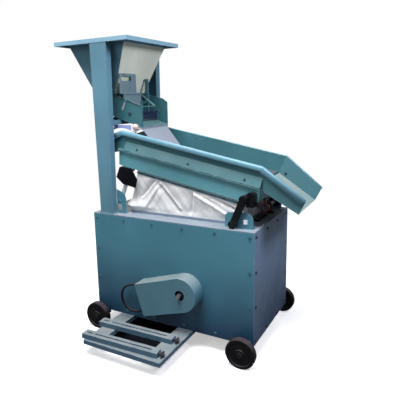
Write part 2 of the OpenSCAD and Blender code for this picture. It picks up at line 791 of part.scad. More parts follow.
// Flat lever that hangs on the near side of the pan
module latch_lever() color(zinc) placed() {
    y1 = -pan_half - slip;
    half = 7.5;
    translate([latch_x, 0, latch_z]) rotate([0, latch_hang, 0]) difference() {
        union() {
            for (z = [0, -lever_l]) y_rod(0, z, y1 - 5, y1, half);
            block([-half, y1 - 5, -lever_l], [half, y1, 0]);
        }
        y_rod(0, 0, y1 - 6, y1 + 1, 4 + run);
    }
}

// Ball knob that locks the feeder, on its upright stem with a nut below the ear
module lock_knob() color("#c9aca6") placed() {
    z0 = pan_z1 - 3 + (knob_y + pan_half) * tan(ear_slope);
    translate([knob_x, knob_y, z0]) {
        translate([0, 0, (knob_r + slip) / cos(ear_slope)]) sphere(r = knob_r);
        translate([0, 0, -22]) cylinder(h = 40, r = 5);
        translate([0, 0, -15]) cylinder(h = 8, r = 9, $fn = 6);
    }
}

module fan_shaft() color(steel) placed() {
    y_rod(fan_x, fan_z, -half_w - guard_depth - shaft_out, drive_y + 22, fan_shaft_r);
}

module fan_impeller() color(teal_dark) placed() translate([fan_x, 0, fan_z]) rotate([-90, 0, 0]) {
    hub = 34;
    difference() {
        union() {
            translate([0, 0, -impeller_w / 2]) cylinder(h = impeller_w, r = hub);
            translate([0, 0, -2]) cylinder(h = 4, r = impeller_r - 12, $fn = 96);
            for (i = [0:blades - 1]) rotate([0, 0, 360 * i / blades]) translate([hub - 4, 0, 0])
                rotate([0, 0, -14]) block([0, -1.5, -impeller_w / 2 + 2],
                    [impeller_r - hub, 1.5, impeller_w / 2 - 2]);
        }
        translate([0, 0, -impeller_w]) cylinder(h = 2 * impeller_w, r = fan_shaft_r);
    }
}

module fan_pulley() color(steel) placed() {
    translate([fan_x, belt_y, fan_z]) rotate([90, 0, 0]) difference() {
        pulley(pulley_r, 34, fan_shaft_r);
        for (i = [0:4]) rotate([0, 0, 72 * i]) translate([(pulley_r + fan_shaft_r) / 2 + 2, 0, -20])
            cylinder(h = 40, r = 15);
    }
}

module fan_small_pulley() color(black) placed() {
    translate([fan_x, drive_y, fan_z]) rotate([90, 0, 0]) pulley(small_pulley_r, 26, fan_shaft_r, 11);
}

// Pillow block for a shaft along Y, its foot at z = -beam_h
module pillow_block(bore, r) {
    difference() {
        union() {
            block([-70, -19, -beam_h], [70, 19, -beam_h + 16]);
            y_rod(0, 0, -17, 17, r);
            block([-r, -17, -beam_h], [r, 17, 0]);
        }
        y_rod(0, 0, -20, 20, bore + run);
    }
    for (x = [-54, 54]) translate([x, 0, -beam_h + 16]) bolt_head(7);
}

module fan_bearings() color("#44525c") placed() {
    both_sides() translate([fan_x, -beam_y, fan_z]) pillow_block(fan_shaft_r, 33);
}

// Two beams across the casing that carry the fan's bearings
module bearing_beams() color(teal_dark) placed() {
    both_sides() yz_plate([[-beam_y - 20, fan_z - beam_h - 40], [-beam_y - 16, fan_z - beam_h - 40],
        [-beam_y - 16, fan_z - beam_h - 4], [-beam_y + 20, fan_z - beam_h - 4],
        [-beam_y + 20, fan_z - beam_h], [-beam_y - 20, fan_z - beam_h]], angle_t - in_x, 2 * (in_x - angle_t));
}

// Ring with wire hoops over the air inlet in the rear panel
module air_inlet() color(teal_dark) placed() translate([fan_x, half_w, fan_z]) rotate([-90, 0, 0]) {
    difference() {
        cylinder(h = 4, r = inlet_r + 18, $fn = 96);
        translate([0, 0, -1]) cylinder(h = 6, r = inlet_r, $fn = 96);
    }
    for (k = [1, 2, 3]) difference() {
        cylinder(h = 3, r = fan_shaft_r + 15 + k * 36, $fn = 64);
        translate([0, 0, -1]) cylinder(h = 5, r = fan_shaft_r + 12 + k * 36, $fn = 64);
    }
    for (a = [0:60:300]) rotate([0, 0, a + 20])
        block([fan_shaft_r + 49.5, -2, 0.4], [inlet_r + 4, 2, 2.6]);
}

// Belt guard: a deep cover, round over the shaft, open at its left end and behind
module belt_guard() color(teal) placed() translate([fan_x, -half_w, fan_z]) rotate([90, 0, 0])
    rotate([0, 0, 180 + belt_slope]) difference() {
        union() {
            cylinder(h = guard_depth, r = guard_r, $fn = 96);
            block([0, -guard_r, 0], [guard_l, guard_r, guard_depth]);
        }
        translate([0, 0, -1]) cylinder(h = guard_depth - guard_t + 1, r = guard_r - guard_t, $fn = 96);
        block([0, -guard_r + guard_t, -1], [guard_l + 1, guard_r - guard_t, guard_depth - guard_t]);
        cylinder(h = guard_depth + 1, r = guard_hole_r);
    }

module v_belt() color(black) placed() translate([fan_x, belt_y, fan_z]) rotate([90, 0, 0])
    rotate([0, 0, 180 + belt_slope]) belt_loop(pulley_r + slip, belt_end_r, belt_l);

module drive_belt() color(black) placed() translate([fan_x, drive_y, fan_z]) rotate([90, 0, 0])
    rotate([0, 0, atan2(crank_z - fan_z, crank_x - fan_x)])
        belt_loop(small_pulley_r + slip, crank_pulley_r + slip,
            norm([crank_z - fan_z, crank_x - fan_x]));

// Frame for the motor: two wide flats, front and rear cross members
module rail_frame() color(teal_light) placed() {
    z1 = ground_gap;
    z0 = z1 - frame_h;
    y0 = -frame_reach;
    y1 = -in_y + angle_leg;
    skin = 5;
    for (x = [[rail_x0 + 24, -305], [70, 187]]) {
        block([x[0], y0, z1 - skin], [x[1], y1, z1]);
        for (e = [x[0], x[1] - skin]) block([e, y0, z0], [e + skin, y1, z1]);
    }
    block([rail_x0 + 24, y0, z0], [187, y0 + skin, z1]);
    block([rail_x0 + 24, y0, z1 - skin], [187, y0 + 57, z1]);
    // Bolts that hold the frame's flats
    for (y = [-640, -448]) translate([-350, y, z1]) bolt_head(6);
}

module slide_rails() color(teal_light) placed() {
    for (y = [-rail_front, -rail_rear]) on_rail(y) slide_rail();
}

// Tension screws at the rails' right ends, each with its lug
module rail_screws() color(steel) placed() {
    x0 = rail_l + slip;
    for (y = [-rail_front, -rail_rear]) on_rail(y) {
        block([x0 + 20, -20, 0], [x0 + 30, 20, rail_h - 3]);
        x_rod(0, 18, x0, x0 + 40, 6);
        x_rod(0, 18, x0 + 30, x0 + 38, 11, $fn = 6);
    }
}

// Bracket plates that carry the rocker arms' lower pins and, at the rear, the eccentric shaft
module arm_brackets() color(teal) placed() {
    y0 = -arm_y + slip + 1;
    t = bracket_t;
    z = casing_top;
    x0 = arm_right_x - 63;
    outer = -arm_y - arm_w - slip;
    difference() {
        both_sides() {
            xz_plate([[x0, z], [crank_x + 50, z], [crank_x + 50, crank_z], [crank_x, crank_z + 48],
                [x0 + 20, z + 98], [x0, z + 78]], y0, t);
            y_rod(crank_x, crank_z, y0, y0 + t, 50);
            block([x0, y0, z], [crank_x + 50, y0 + 26, z + 5]);
        }
        y_rod(crank_x, crank_z, arm_y - t - 2, arm_y + t, crank_r + 2);
    }
    both_sides() {
        y_rod(arm_right_x, arm_right_z, outer - 6, y0 + t, pin_r);
        y_rod(arm_right_x, arm_right_z, outer - 6, outer, 14);
        left_bracket();
    }
}

// Bracket of one left arm: the arm stands behind the plate
module left_bracket() translate([arm_left_x, 0, 0]) {
    y0 = -deck_half - 34;
    t = bracket_t;
    z = casing_top;
    difference() {
        xz_plate([[-14, z], [57, z], [57, arm_left_z + 16], [45, arm_left_z + 56], [-23, arm_left_z + 83],
            [-23, z + 8], [-14, z + 8]], y0, t);
        block([-18, y0 - 1, z + 23], [20, y0 + t + 1, z + 68]);
    }
    block([-14, y0, z], [57, y0 + 30, z + 5]);
    y_rod(0, arm_left_z, y0 - 1, -deck_half - 2.5, pin_r);
    y_rod(0, arm_left_z, y0 - 7, y0, 11, $fn = 6);
}

// Rocker arm from its lower eye at the origin, leaning right, with two round ends
module rocker(width, bar, end_r) {
    rotate([0, arm_lean, 0]) difference() {
        union() {
            for (z = [0, arm_l]) y_rod(0, z, -width, 0, end_r);
            block([-bar / 2, -width + 2, 0], [bar / 2, -2, arm_l]);
        }
        y_rod(0, 0, -width - 1, 1, pin_r + run);
        y_rod(0, arm_l, -width - 1, 1, pin_r + slip);
    }
}

module left_rocker() translate([arm_left_x, -deck_half - 3, arm_left_z]) rocker(24, 24, arm_end_r - 4);
module right_rocker() translate([arm_right_x, -arm_y, arm_right_z]) rocker(arm_w, arm_w, arm_end_r);

module rocker_front_left() color(zinc) placed() left_rocker();
module rocker_front_right() color(black) placed() right_rocker();
module rocker_rear_left() color(zinc) placed() mirror([0, 1, 0]) left_rocker();
module rocker_rear_right() color(black) placed() mirror([0, 1, 0]) right_rocker();

// Bearings of the eccentric shaft: one on the rear bracket, one on a foot, and the dark bar before it
module crank_bearings() color("#44525c") placed() {
    y0 = arm_y - slip - 1 - bracket_t;
    foot = rod_y + 64;
    difference() {
        union() {
            y_rod(crank_x, crank_z, y0 - 6, y0, 40);
            y_rod(crank_x, crank_z, y0 - 18, y0, 27);
            y_rod(crank_x, crank_z, foot - 2, foot + 26, 27);
            block([crank_x - 24, foot, casing_top], [crank_x + 24, foot + 24, crank_z]);
            block([crank_x - 38, foot - 4, casing_top], [crank_x + 38, foot + 28, casing_top + 12]);
        }
        y_rod(crank_x, crank_z, foot - 3, y0 + 1, crank_r + run);
    }
    block([crank_x - 22, -100, casing_top], [crank_x + 22, rod_y - 18, casing_top + 10]);
}

module eccentric_shaft() color(steel) placed() {
    y_rod(crank_x, crank_z, rod_y - 24, drive_y + 22, crank_r);
    y_rod(crank_x + throw, crank_z, rod_y - rod_w / 2 - 4, rod_y + rod_w / 2 + 4, disc_r);
}

module crank_pulley() color(black) placed() {
    translate([crank_x, drive_y, crank_z]) rotate([90, 0, 0]) pulley(crank_pulley_r, 30, crank_r);
}

// Upright rod from the eccentric disc to the deck's lug
module connecting_rod() color(red) placed() {
    strap = disc_r + throw + slip;
    y0 = rod_y - rod_w / 2;
    y1 = rod_y + rod_w / 2;
    difference() {
        union() {
            y_rod(crank_x, crank_z, y0, y1, strap + 7);
            y_rod(crank_x, crank_z + rod_l, y0, y1, eye_r);
            block([crank_x - 9, y0 + 2, crank_z], [crank_x + 9, y1 - 2, crank_z + rod_l]);
        }
        y_rod(crank_x, crank_z, y0 - 1, y1 + 1, strap);
        y_rod(crank_x, crank_z + rod_l, y0 - 1, y1 + 1, pin_r + 2.6);
    }
}

// Side plates of the deck, each with its rim, slanted skirt and joint flange
module deck_sides() color(teal) placed() deck_frame() {
    tan_right = tan(chute_dip / 2);
    tan_left = tan((deck_slope + spout_slope) / 2);
    both_sides() {
        xz_plate([[-deck_l, 0], [0, 0], [-side_h * tan_right, -side_h], [-deck_l + side_h * tan_left, -side_h]],
            -deck_half, deck_t);
        xz_plate([[-deck_l + slip, 0], [-slip, 0], [-bead_h * tan_right - slip, -bead_h],
            [-deck_l + bead_h * tan_left + slip, -bead_h]], -deck_half - bead_w, bead_w + 0.5);
        // Slanted skirt above the joint
        yz_plate([[-deck_half + 0.5, -skirt_top], [-deck_half + 0.5, -skirt_top - 10], [-joint_out + 4, -side_h - 1],
            [-joint_out + 1, -side_h - 1]], -deck_l + 40, deck_l - 40 + web_u1);
    }
    joint_strip(-side_h - joint_t, joint_out);
}

// Strip of the bolted joint on both sides: its underside and its outer edge
module joint_strip(z0, out) {
    both_sides() {
        block([in_u0, -out, z0], [in_u1, -deck_half + deck_t, z0 + joint_t]);
        block([web_u0, -out, z0], [web_u1, -deck_half - 0.5, z0 + joint_t]);
    }
}

// Felt between the two joint flanges
module joint_felt() color("#39404c") placed() deck_frame() {
    joint_strip(-side_h - 2 * joint_t, joint_out - 2);
}

// Wire screen on its perforated carrier plate
module deck_screen() color(zinc) placed() deck_frame() {
    y1 = deck_half - deck_t - 0.5;
    block([-deck_l + 40, -y1, -side_h], [-38, y1, -side_h + screen_t]);
}

// Lower frame of the deck: front and rear webs with flanges, cross webs and closing plates
module plenum_frame() color(teal) placed() deck_frame() {
    y1 = deck_half;
    t = deck_t;
    joint_strip(-web_top, joint_out);
    both_sides() {
        xz_plate([[web_u0, -web_top], [web_u1, -web_top], [web_u1, -web_bottom], [web_u0 + 15, -web_bottom]], -y1, t);
        // Ledge and the rail that the canvas is clamped to
        block([cross_u0, -y1, -web_bottom - t], [cross_u1, -rail_y + t, -web_bottom]);
        block([cross_u0, -rail_y, -rail_bottom], [cross_u1, -rail_y + t, -web_bottom]);
    }
    for (u = [end_u0, cross_u0, cross_u1 - t, end_u1 - t])
        block([u, -y1, -web_bottom], [u + t, y1, -web_top]);
    for (u = [cross_u0, cross_u1 - t])
        block([u, -rail_y, -rail_bottom], [u + t, rail_y, -web_bottom + 0.5]);
    block([end_u0, -y1, -web_bottom - t], [cross_u0 + t, y1, -web_bottom]);
    block([cross_u1 - t, -y1, -web_bottom - t], [end_u1, y1, -web_bottom]);
    // Clevis plates for the connecting rod
    for (s = [-1, 1]) rod_lug(rod_y + s * (rod_w / 2 + 4) - 3);
}

// Lug under the frame for a connecting rod's pin, upright in the world
module rod_lug(y) {
    top = deck_z(deck_u(crank_x - 16, -web_bottom), -web_bottom);
    rotate([0, -deck_slope, 0]) translate([-kink_x, 0, -kink_z]) difference() {
        union() {
            block([crank_x - 16, y, crank_z + rod_l], [crank_x + 16, y + 6, top]);
            y_rod(crank_x, crank_z + rod_l, y, y + 6, 16);
        }
        y_rod(crank_x, crank_z + rod_l, y - 1, y + 7, pin_r + run);
    }
}

// Grain chute: floor and two sides that close in towards the tip, with their rims
module grain_chute() color(teal) placed() chute_frame() {
    tip_out = 20;
    tray_side(chute_l, chute_tip_half, chute_tip_h, tip_out, chute_dip / 2);
}

// Two sides and the floor of a tray that narrows to its tip; the sides turn about their mitre edges
module tray_side(l, tip_half, tip_h, tip_out, mitre) {
    cut = side_h * tan(mitre);
    taper = atan((deck_half - tip_half) / l);
    plan_l = l / cos(taper);
    bead_cut = bead_h * tan(mitre);
    // Room at the mitre for the deck's side plate, because this one turns inward
    gap = deck_t * tan(taper) + 0.1;
    both_sides() translate([0, -deck_half, 0]) rotate(a = taper, v = [-cut, 0, side_h]) {
        xz_plate([[gap, 0], [plan_l, 0], [plan_l + tip_out, -tip_h], [cut + gap, -side_h]], 0, deck_t);
        xz_plate([[gap, 0], [plan_l, 0], [plan_l, -bead_h + 4], [bead_cut + gap, -bead_h + 4]],
            -bead_w + 3, bead_w - 2.5);
    }
    // Floor plate, narrowing with the sides
    run_l = l + tip_out - cut;
    rise = atan((side_h - tip_h) / run_l);
    reach = (side_h * (plan_l + tip_out) - cut * tip_h) / norm([side_h, cut]);
    tip_w = deck_half - reach * sin(taper);
    floor_l = run_l / cos(rise);
    translate([cut, 0, -side_h]) rotate([0, -rise, 0]) translate([0, 0, -deck_t])
        linear_extrude(deck_t + 0.4) polygon([[1, -deck_half + 0.6], [floor_l - 0.5, -tip_w + 0.6],
            [floor_l - 0.5, tip_w - 0.6], [1, deck_half - 0.6]]);
}

// Stone spout at the deck's high end, narrowing between the posts
module stone_spout() color(teal) placed() spout_frame() {
    tray_side(spout_l, spout_tip_half, side_h - 14, -8, (deck_slope + spout_slope) / 2);
}

// Bolts of the skirt, of the upper canvas strips, and one inside the chute
module deck_bolts() color(steel) placed() {
    tilt = atan((joint_w - 1) / (side_h - skirt_top));
    w = skirt_top + 38;
    out = deck_half + (w - skirt_top) * tan(tilt);
    deck_frame() both_sides() {
        for (u = [-922, -505.5, -96.5]) translate([u, -out, -w]) rotate([90 - tilt, 0, 0]) bolt_head(5);
        for (i = [0:8]) translate([cross_u0 + 40 + (cross_u1 - cross_u0 - 80) * i / 8,
            -strip_out, -rail_bottom + 10]) rotate([90, 0, 0]) bolt_head(3);
    }
    translate([kink_x - 4, deck_half - deck_t - 7.4, kink_z - 125]) rotate([90, 0, -8]) bolt_head(6);
    // Pin of the connecting rod, with a head outside each lug
    lug = rod_w / 2 + 7;
    y_rod(crank_x, crank_z + rod_l, rod_y - lug - 4, rod_y + lug + 4, pin_r);
    for (y = [rod_y - lug - 5, rod_y + lug]) y_rod(crank_x, crank_z + rod_l, y, y + 5, 12);
}

// Black brackets on the lower frame that carry the arms' upper pins
module arm_hangers() color(black) placed() both_sides() {
    left_hanger();
    right_hanger();
}

module right_hanger() translate([arm_right_x + arm_dx, 0, arm_right_z + arm_dz]) {
    y0 = -arm_y + slip + 2;
    outer = -arm_y - arm_w - slip;
    web_y = -deck_half;
    y_rod(36, 7, y0, web_y, 34);
    y_rod(0, 0, y0, y0 + 14, 22);
    block([0, y0, -20], [36, y0 + 14, 24]);
    block([7, y0, -56], [54, web_y - 2, -10]);
    // Small plate with a bolt beside the lug
    block([50, web_y - 12, -52], [90, web_y - 2, -22]);
    y_rod(73, -37, web_y - 22, web_y - 11, 16);
    for (p = [[39, -1], [37, 32]]) translate([p[0], y0 + 1, p[1]]) rotate([90, 0, 0]) bolt_head(3);
    y_rod(0, 0, outer - 6, y0 + 1, pin_r);
    y_rod(0, 0, outer - 6, outer, 15);
}

module left_hanger() {
    y0 = -deck_half - 34;
    t = bracket_t;
    translate([arm_left_x + arm_dx, 0, arm_left_z + arm_dz]) {
        xz_plate([[-60, 82], [-93, 6], [-37, -42], [73, -64], [89, -4], [45, 77]], y0, t);
        y_rod(0, 0, y0 - 1, -deck_half - 2.5, pin_r);
        y_rod(0, 0, y0 - 7, y0, 11, $fn = 6);
        translate([9, y0, 60]) rotate([90, 0, 0]) bolt_head(6);
    }
    // Ledge against the underside of the lower frame
    deck_frame() block([in_u0 + 2, y0 + 1, -web_bottom - 16], [cross_u0 - 25, -deck_half + 8, -web_bottom - deck_t]);
}

// Outer face of the strips that clamp the canvas to the lower frame
strip_out = rail_y + canvas_t + 2 * slip + 4;

module clamp_upper() color(teal_dark) placed() deck_frame() {
    both_sides() block([cross_u0, -strip_out, -rail_bottom + 2], [cross_u1, -strip_out + 4, -rail_bottom + 18]);
}

// Flat strips that clamp the canvas round the casing's collar, with small bolts
module clamp_lower() color(teal_dark) placed() {
    z0 = casing_top;
    t = 4;
    gap = slip;
    difference() {
        block([duct_x0 - t - gap, -duct_half - t - gap, z0], [duct_x1 + t + gap, duct_half + t + gap, z0 + strip_w - 2]);
        block([duct_x0 - gap, -duct_half - gap, z0 - 1], [duct_x1 + gap, duct_half + gap, z0 + strip_w]);
    }
    both_sides() for (x = [-338, -67, 204, 475]) translate([x, -duct_half - t - gap, z0 + 9])
        rotate([90, 0, 0]) bolt_head(4);
}

// Canvas sleeve between casing and deck: a closed loop of rings, worked out by functions;
// levels are the rings' heights as shares, play says how far each ring may fold
long_n = 22;
short_n = 12;
ring_n = 2 * (long_n + short_n);
levels = [0, 0.12, 0.23, 0.35, 0.48, 0.61, 0.74, 0.87, 1];
play = [0, 0, 0.8, 1, 1, 1, 0.8, 0, 0];
rings = len(levels);

// Share 0 to 4 of the way round, in whole steps from corner to corner, for point i of a ring
function turn_at(i) =
    i < long_n ? i / long_n : i < long_n + short_n ? 1 + (i - long_n) / short_n
    : i < 2 * long_n + short_n ? 2 + (i - long_n - short_n) / long_n
    : 3 + (i - 2 * long_n - short_n) / short_n;

// Point of a rectangle's outline at that share
function on_box(s, x0, x1, h) =
    s < 1 ? [x0 + (x1 - x0) * s, -h] : s < 2 ? [x1, -h + 2 * h * (s - 1)]
    : s < 3 ? [x1 - (x1 - x0) * (s - 2), h] : [x0, h - 2 * h * (s - 3)];

// Outward direction on the same outline, slanted at the corners
function out_dir(s) = let (corner = s == floor(s), k = floor(s))
    let (dirs = [[0, -1], [1, 0], [0, 1], [-1, 0]])
    corner ? dirs[k % 4] + dirs[(k + 3) % 4] : dirs[k];

// Height of the sleeve's top above a place x
function sleeve_top(x) = deck_z(deck_u(x, -canvas_w), -canvas_w);

// Creases of the long sides: start x and z above the casing, end x and z, depth inward, half width
creases = [[-103, 228, 37, 62, 1, 62], [-103, 228, -238, 40, -0.6, 60], [-144, 254, -261, 128, 0.9, 52],
    [158, 192, 131, 15, 1, 56], [158, 192, 399, 72, -0.6, 60], [299, 177, 462, 112, 0.8, 44]];

// Distance of a point from a crease's line
function crease_gap(p, c) =
    let (a = [c[0], c[1]], d = [c[2], c[3]] - a, t = max(0, min(1, (p - a) * d / (d * d))))
    norm(p - a - t * d);

// Depth of all creases at a point of a long side
function crease_sum(p, k = 0) = k == len(creases) ? 0
    : creases[k][4] * pow(max(0, 1 - crease_gap(p, creases[k]) / creases[k][5]), 1.4) + crease_sum(p, k + 1);

// Slack of the canvas inward: the creases on the long sides, soft upright waves on the short ones
function slack(s, x, z) =
    s == floor(s) ? 0
    : s < 1 || (s > 2 && s < 3) ? fold * (crease_sum([x, z - casing_top]) + 0.12 * sin(900 * s + z))
    : fold * (0.25 + 0.25 * sin(1080 * s + 0.6 * z));

function sleeve_point(i, j, inset) =
    let (s = turn_at(i), v = levels[j],
        lo = on_box(s, duct_x0, duct_x1, duct_half),
        hi = on_box(s, top_x0, top_x1, rail_y + slip + canvas_t),
        z0 = casing_top + 1, z1 = sleeve_top(hi[0]),
        z = j == 1 ? casing_top + strip_w : j == rings - 2 ? z1 - 26 : z0 + (z1 - z0) * v,
        w = j < 2 ? 0 : j > rings - 3 ? 1 : v, x = lo[0] + (hi[0] - lo[0]) * w, y = lo[1] + (hi[1] - lo[1]) * w,
        k = -play[j] * slack(s, x, z) - inset,
        o = out_dir(s))
    [x + o[0] * k, y + o[1] * k, z];

// Number of a point: side 0 outside, 1 inside; ring j from below, i round the ring
function id(side, j, i) = (side * rings + j) * ring_n + i % ring_n;

module canvas_sleeve() color("#d9dbe6") placed() {
    points = [for (inset = [0, canvas_t], j = [0:rings - 1], i = [0:ring_n - 1])
        sleeve_point(i, j, inset)];
    walls = [for (side = [0, 1], j = [0:rings - 2], i = [0:ring_n - 1], k = [0, 1])
        let (a = id(side, j, i), b = id(side, j, i + 1), c = id(side, j + 1, i + 1), d = id(side, j + 1, i))
        side == 0 ? (k == 0 ? [a, c, b] : [a, d, c]) : (k == 0 ? [a, b, c] : [a, c, d])];
    edges = [for (top = [0, 1], i = [0:ring_n - 1], k = [0, 1])
        let (j = top * (rings - 1), a = id(0, j, i), b = id(0, j, i + 1), c = id(1, j, i + 1), d = id(1, j, i))
        top == 0 ? (k == 0 ? [a, b, c] : [a, c, d]) : (k == 0 ? [a, c, b] : [a, d, c])];
    polyhedron(points = points, faces = concat(walls, edges));
}

base_frame();
top_plate();
front_panel();
rear_panel();
left_panel();
right_panel();
floor_panel();
panel_bolts();
axles();
wheel_front_left();
wheel_front_right();
wheel_rear_left();
wheel_rear_right();
post_front();
post_rear();
feeder_beams();
hopper_rim();
hopper_shell();
hopper_right_wall();
gate_guides();
slide_gate();
feeder_pan();
feed_apron();
bow_strip();
baffle();
latch_lever();
lock_knob();
fan_shaft();
fan_impeller();
fan_pulley();
fan_small_pulley();
fan_bearings();
bearing_beams();
air_inlet();
belt_guard();
v_belt();
rail_frame();
slide_rails();
rail_screws();
arm_brackets();
crank_bearings();
eccentric_shaft();
crank_pulley();
drive_belt();
connecting_rod();
rocker_front_left();
rocker_front_right();
rocker_rear_left();
rocker_rear_right();
deck_sides();
deck_screen();
joint_felt();
plenum_frame();
grain_chute();
stone_spout();
deck_bolts();
arm_hangers();
clamp_upper();
clamp_lower();
canvas_sleeve();
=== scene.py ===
# %% [markdown]
# # A grain destoner, dressed in Blender
# The construction model comes in as a fixed frame, in metres, with every part in place.
# This notebook only gives it its looks: a camera that stands where the photographer
# stood, soft studio light, finishes for each part, some with painted light and shade in
# them, and the few things that solids can't show well, such as slack canvas, rolled rims and weld seams.

import math

import bpy
import numpy as np
from mathutils import Matrix, Vector


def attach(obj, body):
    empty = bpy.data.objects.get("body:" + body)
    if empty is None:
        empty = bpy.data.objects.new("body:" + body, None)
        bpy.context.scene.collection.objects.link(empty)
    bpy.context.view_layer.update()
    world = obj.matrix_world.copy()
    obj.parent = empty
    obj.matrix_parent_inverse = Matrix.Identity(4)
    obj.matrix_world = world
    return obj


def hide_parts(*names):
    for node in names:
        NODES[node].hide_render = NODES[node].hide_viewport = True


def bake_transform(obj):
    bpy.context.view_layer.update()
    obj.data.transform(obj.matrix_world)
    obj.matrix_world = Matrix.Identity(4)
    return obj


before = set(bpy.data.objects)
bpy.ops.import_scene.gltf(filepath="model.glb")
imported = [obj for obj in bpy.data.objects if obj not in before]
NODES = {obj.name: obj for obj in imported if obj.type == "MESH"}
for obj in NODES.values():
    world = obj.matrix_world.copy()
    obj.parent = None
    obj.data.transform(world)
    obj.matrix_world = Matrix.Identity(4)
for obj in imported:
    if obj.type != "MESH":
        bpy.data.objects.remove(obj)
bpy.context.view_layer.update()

# %% [markdown]
# ## One measure
# A fitter would take sizes off the casing, in millimetres: x and y from its middle and
# z from the floor. The frame counts in metres from the middle of the whole outline. One
# function turns the first into the second, so the sizes below can be read as drawn.

# %% From the casing's millimetres to the frame's metres
MID_X, MID_Y = -9.266, -160.5


def to_frame(points_mm):
    """Metres in the frame = (millimetres from the casing's middle - the outline's middle) / 1000."""
    return (np.asarray(points_mm, float) - [MID_X, MID_Y, 0]) / 1000


print("the casing's middle is at", to_frame([0, 0, 0]).round(4).tolist())

# %% [markdown]
# ## Camera
# The photograph was taken from about 3.3 m away and 1.7 m up, a little to the right,
# with a slight roll. The camera's axes are worked out from yaw, pitch and roll, and
# the lens from the focal length in pixels of a 400 pixel frame. Part of the picture's
# edge was cut off, so the lens is shifted to put the optical centre back.

# %% Camera
PIXELS = 400
SENSOR_MM = 36
FOCAL_PX = 448.31
OPTICAL_CENTRE = (175.68, 180.40)
EYE = Vector((1.5501, -2.7270, 1.7062))
YAW, PITCH, ROLL = (math.radians(turn) for turn in (29.962, 10.4365, -1.4825))


def camera_axes(yaw, pitch, roll):
    """Right, up and ahead of the camera.

    Ahead is turned by yaw and tipped down by pitch; right and up are then turned about it by roll.
    """
    flat = math.cos(pitch)
    ahead = Vector((-math.sin(yaw) * flat, math.cos(yaw) * flat, -math.sin(pitch)))
    level = Vector((math.cos(yaw), math.sin(yaw), 0))
    upright = level.cross(ahead)
    right = level * math.cos(roll) + upright * math.sin(roll)
    return right, right.cross(ahead), ahead


right, up, ahead = camera_axes(YAW, PITCH, ROLL)
camera = bpy.data.objects.new("camera", bpy.data.cameras.new("camera"))
bpy.context.scene.collection.objects.link(camera)
camera.matrix_world = Matrix.Translation(EYE) @ Matrix((right, up, -ahead)).transposed().to_4x4()
camera.data.sensor_width = SENSOR_MM
camera.data.lens = FOCAL_PX / PIXELS * SENSOR_MM
camera.data.shift_x = (PIXELS / 2 - OPTICAL_CENTRE[0]) / PIXELS
camera.data.shift_y = (OPTICAL_CENTRE[1] - PIXELS / 2) / PIXELS
bpy.context.scene.camera = camera
print("lens", round(camera.data.lens, 2), "mm")

# %% [markdown]
# ## Colours and nodes
# Every finish below is a small tree of nodes. Colours are written as on a screen and
# turned to linear light by one function. Another adds a node, sets what is given as a
# value and links what is given as a socket, so each tree reads from top to bottom.

# %% Colours and nodes
MIX, RANGE, MATH = "ShaderNodeMix", "ShaderNodeMapRange", "ShaderNodeMath"
NOISE, MAPPING, AXES = "ShaderNodeTexNoise", "ShaderNodeMapping", "ShaderNodeSeparateXYZ"
SHADER, BLEND = "ShaderNodeBsdfPrincipled", "ShaderNodeMixShader"
# inputs go by number where that is shorter: RANGE takes a value (0) from low to high (1, 2) to low and
# high (3, 4); MIX takes a share (0) and two colours (6, 7), and gives its colour at 2


def linear(hex_colour):
    """sRGB hex to linear light: c / 12.92 below 0.04045, else ((c + 0.055) / 1.055) ** 2.4."""
    c = np.array([int(hex_colour[i:i + 2], 16) for i in (1, 3, 5)]) / 255
    return tuple(np.where(c <= 0.04045, c / 12.92, ((c + 0.055) / 1.055) ** 2.4)) + (1.0,)


def add(tree, kind, given=None, out=0):
    """Adds a node and gives back one of its outputs.

    A key in small letters is a setting of the node, any other key is an input. A socket as
    the value is linked to that input, anything else is set on it.
    """
    made = tree.nodes.new(kind)
    for key, value in (given or {}).items():
        if isinstance(key, str) and key.islower():
            setattr(made, key, value)
        elif isinstance(value, bpy.types.NodeSocket):
            tree.links.new(value, made.inputs[key])
        else:
            made.inputs[key].default_value = value
    return made.outputs[out] if made.outputs else None


print("white is", [round(float(c), 2) for c in linear("#ffffff")])

# %% [markdown]
# ## Floor and light
# A plain pale floor and a pale room. In the photograph the light comes from high above
# and a little in front: rims and tops shine, and the sheet darkens towards the floor.
# So the strongest lamp hangs there, a weak one stands in front, one behind, and one
# lights the hopper.

# %% Floor
FLOOR_SIZE = 120.0
PALE = "#ffffff"


def mesh_object(name, points, faces, flat_ends=False):
    """A mesh object from an array of points and rows of corner numbers, smooth but for flat end caps."""
    mesh = bpy.data.meshes.new(name)
    mesh.from_pydata(np.asarray(points).reshape(-1, 3).tolist(), [], faces)
    mesh.polygons.foreach_set("use_smooth", [len(face) == 4 or not flat_ends for face in faces])
    mesh.update()
    piece = bpy.data.objects.new(name, mesh)
    bpy.context.scene.collection.objects.link(piece)
    return piece


half = FLOOR_SIZE / 2
floor_corners = [(-half, -half, 0), (half, -half, 0), (half, half, 0), (-half, half, 0)]
floor = mesh_object("floor", floor_corners, [(0, 1, 2, 3)])
print("floor", FLOOR_SIZE, "m wide")

# %% Lamps
# name: place, what it is aimed at, width in metres, watts, colour
LAMPS = {
    "overhead": ((0.2, -1.8, 5.4), (0, 0, 1.2), 2.0, 330, "#ffffff"),
    "front": ((-1.8, -4.6, 3.8), (0, 0, 1.0), 2.4, 58, "#ffffff"),
    "rear": ((-2.8, 4.4, 3.6), (0, 0, 1.0), 2.4, 60, "#ffffff"),
    "hopper": ((2.7, -0.3, 3.3), (-0.5, 0, 1.9), 0.9, 80, "#f2f3ff"),
}


